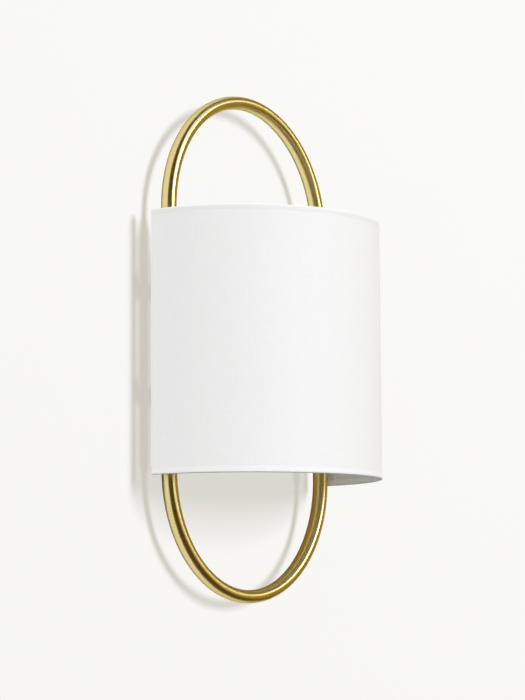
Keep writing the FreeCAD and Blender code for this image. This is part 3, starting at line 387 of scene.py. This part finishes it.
BEHIND_WALL_Y = 0.003  # of the painted-shade plane that dull pieces see through the wall
BEFORE_WALL_Y = 0.0002  # of the planes of painted reflection and painted shadow that metal mirrors instead of the wall
# Painted shade: a dim glowing sheet that dull pieces inside the shade see instead of the room's light.
PAINTED_SHADE_BEHIND_SHADE = colour(0.26, 0.255, 0.24)
BEHIND_SHADE_X = (-0.122, 0.122)
BEHIND_SHADE_Z = (-0.15, 0.11)
# Painted reflection: a pale glowing sheet that metal behind the plate mirrors instead of the dark gap at
# the wall.
PAINTED_REFLECTION_BEHIND_PLATE = colour(0.56, 0.55, 0.53)
BEHIND_PLATE_X = (-0.1, 0.1)
BEHIND_PLATE_Z = (-0.1, 0.1)
# Painted shadow: a brown glowing sheet that the lower loop mirrors, standing in for the shade's shadow on
# the wall.
PAINTED_SHADOW_UNDER_SHADE = colour(0.25, 0.162, 0.052)
UNDER_SHADE_X = (0.02, 0.118)
UNDER_SHADE_Z = (-0.205, -0.1)


def stage_material(name, tint, glow, mirrored):
    """Pale paint, plain where metal mirrors it. It is clear from its back, so it hides nothing."""
    material, tree, shader = new_material(name)
    speck = tree.noise(tree.place(), scale=STAGE_GRAIN, detail=3)
    in_metal = tree.node("ShaderNodeLightPath").outputs["Is Glossy Ray"]
    set_up(shader, tree, Base_Color=tree.mix(in_metal, tint, mirrored), Roughness=STAGE_ROUGH)
    set_up(shader, tree, Emission_Color=tree.mix(in_metal, glow, NONE), Emission_Strength=1.0)
    set_up(shader, tree, Normal=tree.bump(speck, STAGE_GRAIN_DEPTH), Specular_IOR_Level=0.0)
    clear = tree.node("ShaderNodeBsdfTransparent").outputs[0]
    behind = tree.node("ShaderNodeNewGeometry").outputs["Backfacing"]
    seen = tree.node("ShaderNodeMixShader", {0: behind, 1: shader.outputs[0], 2: clear}).outputs[0]
    tree.put(material.node_tree.nodes["Material Output"].inputs["Surface"], seen)
    return material


def add_plane(name, corners, material, *hidden):
    """A plane of the stage, hidden from the named kinds of ray."""
    mesh = bpy.data.meshes.new(name)
    mesh.from_pydata(corners, [], [(0, 1, 2, 3)])
    mesh.materials.append(material)
    plane = bpy.data.objects.new(name, mesh)
    scene.collection.objects.link(plane)
    hide_from(plane, *hidden)


def upright(left, right, low, high, y):
    """The corners of an upright rectangle that faces the room."""
    return [(left, y, low), (right, y, low), (right, y, high), (left, y, high)]


def add_stage():
    """A pale wall just behind the light and a pale floor far below. They throw no light of their own."""
    wall = upright(-STAGE_X, STAGE_X, FLOOR_Z, STAGE_TOP, WALL_Y)
    plan = ((-STAGE_X, STAGE_FRONT), (STAGE_X, STAGE_FRONT), (STAGE_X, WALL_Y), (-STAGE_X, WALL_Y))
    floor = [(x, y, FLOOR_Z) for x, y in plan]
    wall_paint = stage_material("wall", WALL_PAINT, WALL_GLOW, WALL_MIRRORED)
    add_plane("wall", wall, wall_paint, "diffuse", "shadow")
    floor_paint = stage_material("floor", FLOOR_PAINT, FLOOR_GLOW, PALE)
    add_plane("floor", floor, floor_paint, "diffuse", "shadow", "glossy")


def add_painted_wall_part(name, light, across, along, in_metal):
    """A plane of painted light or shade at the wall: metal mirrors it, or else it lights dull pieces."""
    y = BEFORE_WALL_Y if in_metal else BEHIND_WALL_Y
    hidden = ("diffuse", "shadow") if in_metal else ("glossy",)
    material, tree, shader = new_material(name)
    set_up(shader, tree, Base_Color=NONE, Emission_Color=light, Emission_Strength=1.0)
    add_plane(name, upright(*across, *along, y), material, "camera", "transmission", *hidden)


def add_painted_wall_parts():
    """Painted shade for dull pieces behind the shade; for metal, a painted reflection behind the plate and
    a painted shadow lower down.
    """
    add_painted_wall_part("painted_shade_behind_shade", PAINTED_SHADE_BEHIND_SHADE, BEHIND_SHADE_X, BEHIND_SHADE_Z, in_metal=False)
    add_painted_wall_part("painted_reflection_behind_plate", PAINTED_REFLECTION_BEHIND_PLATE, BEHIND_PLATE_X, BEHIND_PLATE_Z, in_metal=True)
    add_painted_wall_part("painted_shadow_under_shade", PAINTED_SHADOW_UNDER_SHADE, UNDER_SHADE_X, UNDER_SHADE_Z, in_metal=True)


# ---- metals ---------------------------------------------------------------------------------

# Hairs, lines, clouds and grains are noise steps per metre. An EDGE is where a blend starts and ends.
# A ROUGH is the roughness that a pattern has, or adds where it is one number.
LOOP_HAIRS = (2600.0, 60.0, 60.0)  # along the tube, then along X and Y
LOOP_HAIR_DEPTH = 0.0000012
LOOP_STREAKS = (0.22, 0.5, 0.5)  # share of the hairs' steps
LOOP_STREAK_EDGE = (0.45, 0.75)
LOOP_STREAK_TONE = colour(0.74, 0.60, 0.21)
LOOP_STREAK_SHARE = 0.3
LOOP_CLOUDS = 14
LOOP_CLOUD_EDGE = (0.35, 0.65)
LOOP_CLOUD_ROUGH = 0.02
LOOP_TONES = (colour(0.80, 0.665, 0.245), colour(0.84, 0.705, 0.285))
LOOP_ROUGH = (0.265, 0.295)
LOOP_BRUSHING = 0.97
LOOP_GLINT = colour(0.45, 0.33, 0.14)

SHEET_HAIRS = (60.0, 900.0, 3200.0)
SHEET_HAIR_DEPTH = 0.00001
SHEET_HAIR_ROUGH = 0.08
SHEET_CLOUDS = 40
SHEET_TONE_EDGE = (0.35, 0.7)
SHEET_WORN_EDGE = (0.4, 0.7)
SHEET_WORN_ROUGH = 0.05

DRAWN_LINES = (90.0, 2400.0, 2400.0)
DRAWN_LINE_DEPTH = 0.000008
DRAWN_LINE_ROUGH = 0.04
CRYSTAL_SHARE = 0.55
CRYSTAL_CLOUDS = 0.3  # share of the crystals' steps
CRYSTAL_ROUGH = 0.12


def loop_way(tree):
    """The direction along the loop's tube and a place on it, as (way along, x, y)."""
    x, y, z = tree.parts(tree.place())
    bend = tree.math("MAXIMUM", tree.math("MINIMUM", z, LOOP_BEND_Z), -LOOP_BEND_Z)
    past_bend = tree.math("SUBTRACT", z, bend)
    out = tree.vector("NORMALIZE", tree.xyz(x, 0.0, past_bend))
    out_x, _, out_z = tree.parts(out)
    along = tree.xyz(tree.math("MULTIPLY", out_z, -1.0), 0.0, out_x)
    turn = tree.math("ARCTAN2", past_bend, tree.math("ABSOLUTE", x))
    way = tree.math("ADD", bend, tree.math("MULTIPLY", turn, LOOP_BEND_R))
    return along, tree.xyz(way, x, y)


def loop_brass(name):
    """Satin brass tube, brushed round the tube, so that its highlights stretch along it."""
    material, tree, shader = new_material(name)
    along, place = loop_way(tree)
    hair_at = tree.vector("MULTIPLY", place, LOOP_HAIRS)
    hairs = tree.noise(hair_at, detail=3, roughness=0.7)
    streaks = tree.noise(tree.vector("MULTIPLY", hair_at, LOOP_STREAKS), detail=2, roughness=0.6)
    clouds = tree.noise(tree.place(), scale=LOOP_CLOUDS, detail=3, roughness=0.55)
    tone = tree.mix(tree.between(clouds, *LOOP_CLOUD_EDGE), *LOOP_TONES)
    streaky = tree.between(streaks, *LOOP_STREAK_EDGE, 0.0, LOOP_STREAK_SHARE)
    tone = tree.mix(streaky, tone, LOOP_STREAK_TONE)
    rough = tree.math("ADD", tree.spread(hairs, *LOOP_ROUGH), tree.spread(clouds, 0.0, LOOP_CLOUD_ROUGH))
    grooves = tree.bump(hairs, LOOP_HAIR_DEPTH)
    set_up(shader, tree, Base_Color=tone, Metallic=1.0, Roughness=rough, Specular_Tint=LOOP_GLINT)
    set_up(shader, tree, Anisotropic=LOOP_BRUSHING, Tangent=along, Normal=grooves)
    return material


def brass(name, tint, dark, rough):
    """Brushed sheet and turned brass: hairlines one way, a mottled tone and worn gloss."""
    material, tree, shader = new_material(name)
    place = tree.place()
    hairs = tree.noise(tree.vector("MULTIPLY", place, SHEET_HAIRS), detail=3, roughness=0.65)
    clouds = tree.noise(place, scale=SHEET_CLOUDS, detail=4, roughness=0.6)
    tone = tree.mix(tree.between(clouds, *SHEET_TONE_EDGE), tint, dark)
    worn = tree.between(clouds, *SHEET_WORN_EDGE, 0.0, SHEET_WORN_ROUGH)
    gloss = tree.math("ADD", tree.spread(hairs, rough, rough + SHEET_HAIR_ROUGH), worn)
    grooves = tree.bump(hairs, SHEET_HAIR_DEPTH)
    set_up(shader, tree, Base_Color=tone, Metallic=1.0, Roughness=gloss, Normal=grooves)
    return material


def plated(name, tint, second, rough, scale):
    """Plated steel: crystals of slightly different tone, with fine drawing lines."""
    material, tree, shader = new_material(name)
    place = tree.place()
    cells = tree.node("ShaderNodeTexVoronoi", {"Vector": place, "Scale": scale}).outputs["Color"]
    share = tree.between(tree.parts(cells)[0], 0.0, 1.0, 0.0, CRYSTAL_SHARE)
    clouds = tree.noise(place, scale=scale * CRYSTAL_CLOUDS, detail=4, roughness=0.6)
    tone = tree.mix(tree.math("MULTIPLY", share, clouds), tint, second)
    lines = tree.noise(tree.vector("MULTIPLY", place, DRAWN_LINES), detail=2, roughness=0.6)
    drawn = tree.spread(lines, 0.0, DRAWN_LINE_ROUGH)
    gloss = tree.math("ADD", tree.spread(clouds, rough, rough + CRYSTAL_ROUGH), drawn)
    grooves = tree.bump(lines, DRAWN_LINE_DEPTH)
    set_up(shader, tree, Base_Color=tone, Metallic=1.0, Roughness=gloss, Normal=grooves)
    return material


# ---- cloth, plastics and glass ----------------------------------------------------------------

THREAD = 0.00035
THREAD_DEPTH = 0.00003
THREAD_RELIEF = 0.6
THREAD_LONG = 0.02  # a thread's own unevenness is drawn out along it
LEVEL_THREADS_AT = 4.0  # another place in the noise than the upright threads'
CROSSING_HEIGHT = 0.5
SLUB_HEIGHT = 0.8
SLUB_EDGE = (0.8, 1.2)
CLOTH_TONES = (colour(0.905, 0.903, 0.898), colour(0.945, 0.943, 0.938))
CLOTH_PATCHES = 22
CLOTH_PATCH_TONE = colour(0.90, 0.895, 0.885)
CLOTH_PATCH_SHARE = 0.12
CLOTH_ROUGH = 0.62
CLOTH_SHEEN = 0.08

DULL_CLOUDS = 0.04  # share of the grain's steps
DULL_GRAIN_ROUGH = 0.1
SCATTER_REACH = (1.0, 0.9, 0.8)  # of red, green and blue, as shares of the depth
SCATTER_DEPTH = 0.0012

STRIPES = 1500.0
STRIPE_EDGE = (-0.1, 0.1)
STRIPED_ROUGH = (0.32, 0.42)
LEAD_GRAIN = 2500
LEAD_GRAIN_DEPTH = 0.00001

GLASS_TINT = colour(0.985, 0.99, 0.99)
GLASS_IOR = 1.48
GLASS_SMEARS = 120
GLASS_SMEAR_EDGE = (0.45, 0.7)
GLASS_SMEAR_ROUGH = 0.03
GLASS_WAVES = 260
GLASS_WAVE_DEPTH = 0.00001


def woven(name):
    """White plain-weave cotton. The pieces' own coordinates are metres along and across the cloth."""
    material, tree, shader = new_material(name)
    u, v, _ = tree.parts(tree.place("UV"))
    warp = tree.math("MULTIPLY", u, 1.0 / THREAD)
    weft = tree.math("MULTIPLY", v, 1.0 / THREAD)
    warp_wave = tree.math("SINE", tree.math("MULTIPLY", warp, math.pi))
    weft_wave = tree.math("SINE", tree.math("MULTIPLY", weft, math.pi))
    crossing = tree.math("MULTIPLY", warp_wave, weft_wave)
    upright_at = tree.xyz(warp, tree.math("MULTIPLY", weft, THREAD_LONG), 0.0)
    level_at = tree.xyz(tree.math("MULTIPLY", warp, THREAD_LONG), weft, LEVEL_THREADS_AT)
    slub = tree.math("ADD", *(tree.noise(at, detail=2, roughness=0.6) for at in (upright_at, level_at)))
    crossed = tree.math("MULTIPLY", crossing, CROSSING_HEIGHT)
    height = tree.math("ADD", crossed, tree.math("MULTIPLY", slub, SLUB_HEIGHT))
    patches = tree.noise(tree.xyz(u, v, 0.0), scale=CLOTH_PATCHES, detail=3)
    tone = tree.mix(tree.between(slub, *SLUB_EDGE), *CLOTH_TONES)
    tone = tree.mix(tree.spread(patches, 0.0, CLOTH_PATCH_SHARE), tone, CLOTH_PATCH_TONE)
    threads = tree.bump(height, THREAD_DEPTH, THREAD_RELIEF)
    set_up(shader, tree, Base_Color=tone, Roughness=CLOTH_ROUGH, Specular_IOR_Level=0.5)
    set_up(shader, tree, Sheen_Weight=CLOTH_SHEEN, Sheen_Roughness=0.5, Normal=threads)
    return material


def dull(name, tint, second, rough, grain, depth, scatter=0.0):
    """Moulded plastic, paint, ceramic or rubber: two close tones and a fine surface grain."""
    material, tree, shader = new_material(name)
    place = tree.place()
    clouds = tree.noise(place, scale=grain * DULL_CLOUDS, detail=3, roughness=0.55)
    fine = tree.noise(place, scale=grain, detail=3, roughness=0.6)
    tone = tree.mix(tree.spread(clouds), tint, second)
    gloss = tree.spread(fine, rough, rough + DULL_GRAIN_ROUGH)
    set_up(shader, tree, Base_Color=tone, Roughness=gloss, Normal=tree.bump(fine, depth))
    set_up(shader, tree, Specular_IOR_Level=0.5, Subsurface_Weight=scatter)
    set_up(shader, tree, Subsurface_Radius=SCATTER_REACH, Subsurface_Scale=SCATTER_DEPTH)
    return material


def striped(name, tint, stripe):
    """Lead insulation in two colours that wind round it."""
    material, tree, shader = new_material(name)
    x, y, z = tree.parts(tree.place())
    slant = tree.math("ADD", x, tree.math("ADD", y, z))
    wind = tree.math("SINE", tree.math("MULTIPLY", slant, STRIPES))
    tone = tree.mix(tree.between(wind, *STRIPE_EDGE), tint, stripe)
    fine = tree.noise(tree.place(), scale=LEAD_GRAIN, detail=2)
    gloss = tree.spread(fine, *STRIPED_ROUGH)
    set_up(shader, tree, Base_Color=tone, Roughness=gloss, Normal=tree.bump(fine, LEAD_GRAIN_DEPTH))
    return material


def glass(name):
    """Clear bulb glass with faint smears and waves."""
    material, tree, shader = new_material(name)
    smears = tree.noise(tree.place(), scale=GLASS_SMEARS, detail=3, roughness=0.6)
    waves = tree.noise(tree.place(), scale=GLASS_WAVES, detail=2)
    rough = tree.between(smears, *GLASS_SMEAR_EDGE, 0.0, GLASS_SMEAR_ROUGH)
    set_up(shader, tree, Base_Color=GLASS_TINT, Roughness=rough, Normal=tree.bump(waves, GLASS_WAVE_DEPTH))
    set_up(shader, tree, Transmission_Weight=1.0, IOR=GLASS_IOR)
    return material


# By slot of the record: what makes it, its two tones, roughness, grain, the grain's depth in metres
# and the share of light that scatters inside it.
RECIPES = {
    "brass": (brass, colour(0.86, 0.70, 0.36), colour(0.76, 0.58, 0.26), 0.2),
    "contact_brass": (brass, colour(0.82, 0.66, 0.33), colour(0.66, 0.50, 0.24), 0.28),
    "zinc_steel": (plated, colour(0.66, 0.67, 0.67), colour(0.52, 0.53, 0.55), 0.28, 700),
    "nickel": (plated, colour(0.78, 0.76, 0.72), colour(0.68, 0.66, 0.61), 0.16, 900),
    "white_cloth": (woven,),
    "white_liner": (dull, colour(0.90, 0.90, 0.885), colour(0.875, 0.875, 0.86), 0.42, 900, 0.00001),
    "white_wire": (dull, colour(0.86, 0.86, 0.85), colour(0.82, 0.82, 0.81), 0.34, 1800, 0.00002),
    "white_plastic": (dull, colour(0.87, 0.86, 0.83), colour(0.84, 0.83, 0.80), 0.36, 2600, 0.00002, 0.1),
    "carrier_ceramic": (dull, colour(0.82, 0.80, 0.74), colour(0.76, 0.73, 0.66), 0.22, 1500, 0.00002),
    "nylon": (dull, colour(0.80, 0.81, 0.78), colour(0.86, 0.86, 0.83), 0.3, 1600, 0.00001, 0.35),
    "brown_insulation": (dull, colour(0.14, 0.055, 0.025), colour(0.11, 0.042, 0.02), 0.34, 2500, 0.00001),
    "blue_insulation": (dull, colour(0.03, 0.12, 0.42), colour(0.025, 0.10, 0.36), 0.34, 2500, 0.00001),
    "green_insulation": (striped, colour(0.03, 0.28, 0.07), colour(0.75, 0.60, 0.03)),
    "black_glass": (dull, colour(0.012, 0.012, 0.016), colour(0.03, 0.028, 0.04), 0.1, 600, 0.00001),
    "clear_glass": (glass,),
    "phosphor": (dull, colour(0.88, 0.62, 0.10), colour(0.82, 0.52, 0.07), 0.5, 4000, 0.00002, 0.2),
}


def make_materials():
    """One material per slot of the record, by its name."""
    return {slot: make(slot, *values) for slot, (make, *values) in RECIPES.items()}


def dress_nodes(materials):
    """Every shown CAD node gets the finish of its own slots."""
    for node in NODES.values():
        for held in node.material_slots:
            held.material = materials[held.material.name.split(".")[0]]
    for held in NODES["loop_frame"].material_slots:
        held.material = loop_brass("loop_brass")


# ---- the shade's cloth ----------------------------------------------------------------------

SHADE_Y = -0.018
SHADE_TOP = 0.1085
SHADE_BOTTOM = -0.1175
STEP = math.radians(1.5)

CLOTH = 0.0004
HEM_R = 0.1234
HEM_INNER_R = 0.1178
HEM_HEIGHT = 0.0055
HEM_SUNK = 0.00006  # how far the hem's free edge lies inside the cover's outer face
HEM_RISE = 0.0009
HEM_SQUARE = 0.5  # 1 is a half ellipse over the rim, 0 a box
HEM_STEPS = 10
HEM_OUTSIDE = (0.0, 0.2, 0.4, 0.6)
HEM_INSIDE = (0.35, 0.7, 1.0)
HEM_SHUT = 0.08
HEM_END = 0.0025
HEM_WAVE = 0.00006
HEM_WAVES_ROUND = 9.0
HEM_WAVES_UP = 40.0

COVER_R = 0.1228
COVER_THICK = 0.0005
COVER_CLEAR = 0.0002  # between the cover's edges and the hems' rims
COVER_WAVE = 0.0009
COVER_WAVES_ROUND = 25.0
COVER_WAVES_UP = 18.0
COVER_ROWS = 64
TURN_WIDTH = 0.005
TURN_ROUNDING = 0.0004
TURN_STEPS = 4


def cloth_mesh(name, rows, across, along, dropped):
    """A mesh through rows of points. across and along are its metres for the weave."""
    mesh = bpy.data.meshes.new(name)
    width = len(rows[0])
    faces = []
    for i in range(len(rows) - 1):
        for j in range(width - 1):
            a = i * width + j
            if (i, j) not in dropped:
                faces.append((a, a + 1, a + width + 1, a + width))
    mesh.from_pydata([p for row in rows for p in row], [], faces)
    uv = mesh.uv_layers.new(name="cloth")
    for loop in mesh.loops:
        i, j = divmod(loop.vertex_index, width)
        uv.data[loop.index].uv = (along[i], across[j])
    drop_loose_points(mesh)
    for face in mesh.polygons:
        face.use_smooth = True
    return mesh


def drop_loose_points(mesh):
    bare = bmesh.new()
    bare.from_mesh(mesh)
    loose = [v for v in bare.verts if not v.link_faces]
    bmesh.ops.delete(bare, geom=loose, context="VERTS")
    bare.to_mesh(mesh)
    bare.free()


def cloth_sheet(mesh, thickness, material):
    """A piece of cloth on the shade, with a thickness and soft edges."""
    mesh.materials.append(material)
    made = bpy.data.objects.new(mesh.name, mesh)
    scene.collection.objects.link(made)
    thick = made.modifiers.new("thickness", "SOLIDIFY")
    thick.thickness = thickness
    thick.offset = 0.0
    thick.use_even_offset = True
    rounding = made.modifiers.new("rounding", "SUBSURF")
    rounding.levels = 1
    rounding.render_levels = 1
    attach(made, "shade")
    return made


def lengths(points):
    """Running length along a row of points."""
    total = [0.0]
    for a, b in zip(points, points[1:]):
        total.append(total[-1] + (Vector(b) - Vector(a)).length)
    return total


def plan_lengths(plan):
    return lengths([(x, y, 0) for x, y in plan])


def turned_end(side):
    """The cover's end in plan, from where it leaves the drum, round the upright, to its edge inside."""
    outer = COVER_R
    inner = HEM_INNER_R + COVER_THICK / 2
    web = SHADE_Y - COVER_THICK / 2
    corner = TURN_ROUNDING
    turns = [math.pi / 2 * k / TURN_STEPS for k in range(TURN_STEPS + 1)]
    points = [(outer - corner + corner * math.cos(t), web - corner + corner * math.sin(t)) for t in turns]
    points.append(((outer + inner) / 2, web))
    points += [(inner + corner - corner * math.sin(t), web - corner + corner * math.cos(t)) for t in turns]
    points += [(inner, web - TURN_WIDTH / 2), (inner, web - TURN_WIDTH)]
    return [(side * x, y) for x, y in points]


def drum_plan(radius, first, last):
    """Half circle in plan, as (x, y), from angle to angle."""
    count = round((last - first) / STEP)
    angles = [first + (last - first) * i / count for i in range(count + 1)]
    return [(radius * math.cos(a), SHADE_Y + radius * math.sin(a)) for a in angles]


def cover_levels():
    """Heights of the cover's rows: its two edges under the hems' rims, and even rows between the hems."""
    low = SHADE_BOTTOM + CLOTH + COVER_CLEAR
    high = SHADE_TOP - CLOTH - COVER_CLEAR
    low_turn = SHADE_BOTTOM + HEM_HEIGHT + COVER_CLEAR
    high_turn = SHADE_TOP - HEM_HEIGHT - COVER_CLEAR
    between = [low_turn + (high_turn - low_turn) * k / COVER_ROWS for k in range(COVER_ROWS + 1)]
    return [low, *between, high]


def uneven(x, y, z):
    """A point of the cover, moved in or out by the faint unevenness of a glued cloth."""
    wave = noise.noise(Vector((x * COVER_WAVES_ROUND, y * COVER_WAVES_ROUND, z * COVER_WAVES_UP)))
    out = 1.0 + COVER_WAVE * wave
    return (x * out, SHADE_Y + (y - SHADE_Y) * out, z)


def add_cover(material):
    """The cloth of the drum, turned round both uprights, where it leaves room for the hems."""
    slack = math.asin((COVER_THICK / 2 + 2 * TURN_ROUNDING) / COVER_R)
    left = turned_end(-1)[::-1]
    right = turned_end(1)
    plan = left + drum_plan(COVER_R, math.pi + slack, 2 * math.pi - slack) + right
    levels = cover_levels()
    rows = [[uneven(x, y, z) for z in levels] for x, y in plan]
    turns = [i for i in range(len(plan) - 1) if i < len(left) or i >= len(plan) - len(right) - 1]
    dropped = {(i, j) for i in turns for j in (0, len(levels) - 2)}
    across = [z - levels[0] for z in levels]
    mesh = cloth_mesh("cover_cloth", rows, across, plan_lengths(plan), dropped)
    cover = cloth_sheet(mesh, COVER_THICK, material)
    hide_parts("shade_cover", "left_end_fold", "right_end_fold")
    return cover


def hem_profile(outward):
    """Middle of the hem's cloth as (radius, height), from its outer edge over the rim to its inner edge."""
    outer = HEM_R - CLOTH / 2
    inner = HEM_INNER_R + CLOTH / 2
    middle = (outer + inner) / 2
    reach = (outer - inner) / 2
    foot = -CLOTH / 2 - HEM_RISE
    edge = COVER_R + COVER_THICK / 2 - CLOTH / 2 - HEM_SUNK
    points = []
    for share in HEM_OUTSIDE:
        swell = math.sin(share * math.pi / 2)
        points.append((edge + (outer - edge) * swell, (share - 1.0) * HEM_HEIGHT))
    for k in range(HEM_STEPS + 1):
        turn = math.pi * k / HEM_STEPS
        side = math.copysign(abs(math.cos(turn)) ** HEM_SQUARE, math.cos(turn))
        points.append((middle + reach * side, foot + HEM_RISE * math.sin(turn) ** HEM_SQUARE))
    points += [(inner, -HEM_HEIGHT * share) for share in HEM_INSIDE]
    return [(r, outward * h) for r, h in points]


def hem_rows(profile, rim):
    """The hem's rows of points round the half drum, with a nearly shut row at each end."""
    rows = []
    for x, y in drum_plan(1.0, math.pi, 2 * math.pi):
        at = Vector((x * HEM_WAVES_ROUND, y * HEM_WAVES_ROUND, rim * HEM_WAVES_UP))
        wave = HEM_WAVE * noise.noise(at)
        rows.append([(x * (r + wave), SHADE_Y + (y - SHADE_Y) * (r + wave), rim + h) for r, h in profile])
    middle = (HEM_R + HEM_INNER_R) / 2
    shut = [(middle + (r - middle) * HEM_SHUT, rim + h) for r, h in profile]
    first = [(-r, SHADE_Y, z) for r, z in shut]
    last = [(r, SHADE_Y, z) for r, z in shut]
    return [first, *rows, last]


def add_hem(name, node, rim, outward, material):
    """A strip of the same cloth rolled over a ring wire."""
    rows = hem_rows(hem_profile(outward), rim)
    drum = [HEM_R * k for k in plan_lengths(drum_plan(1.0, math.pi, 2 * math.pi))]
    along = [drum[0] - HEM_END, *drum, drum[-1] + HEM_END]
    mesh = cloth_mesh(name, rows, lengths(rows[0]), along, dropped=())
    hem = cloth_sheet(mesh, CLOTH, material)
    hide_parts(node)
    return hem


def add_shade(material):
    cover = add_cover(material)
    hems = [
        add_hem("top_hem_cloth", "top_hem", SHADE_TOP, 1, material),
        add_hem("bottom_hem_cloth", "bottom_hem", SHADE_BOTTOM, -1, material),
    ]
    return [cover, *hems]


# ---- scene ----------------------------------------------------------------------------------

scene.view_settings.view_transform = "Standard"
add_camera()
set_world()
add_stage()
add_painted_wall_parts()
materials = make_materials()
dress_nodes(materials)
cloth = add_shade(materials["white_cloth"])
add_lamps([*cloth, NODES["shade_liner"]])
add_shadow_loop()
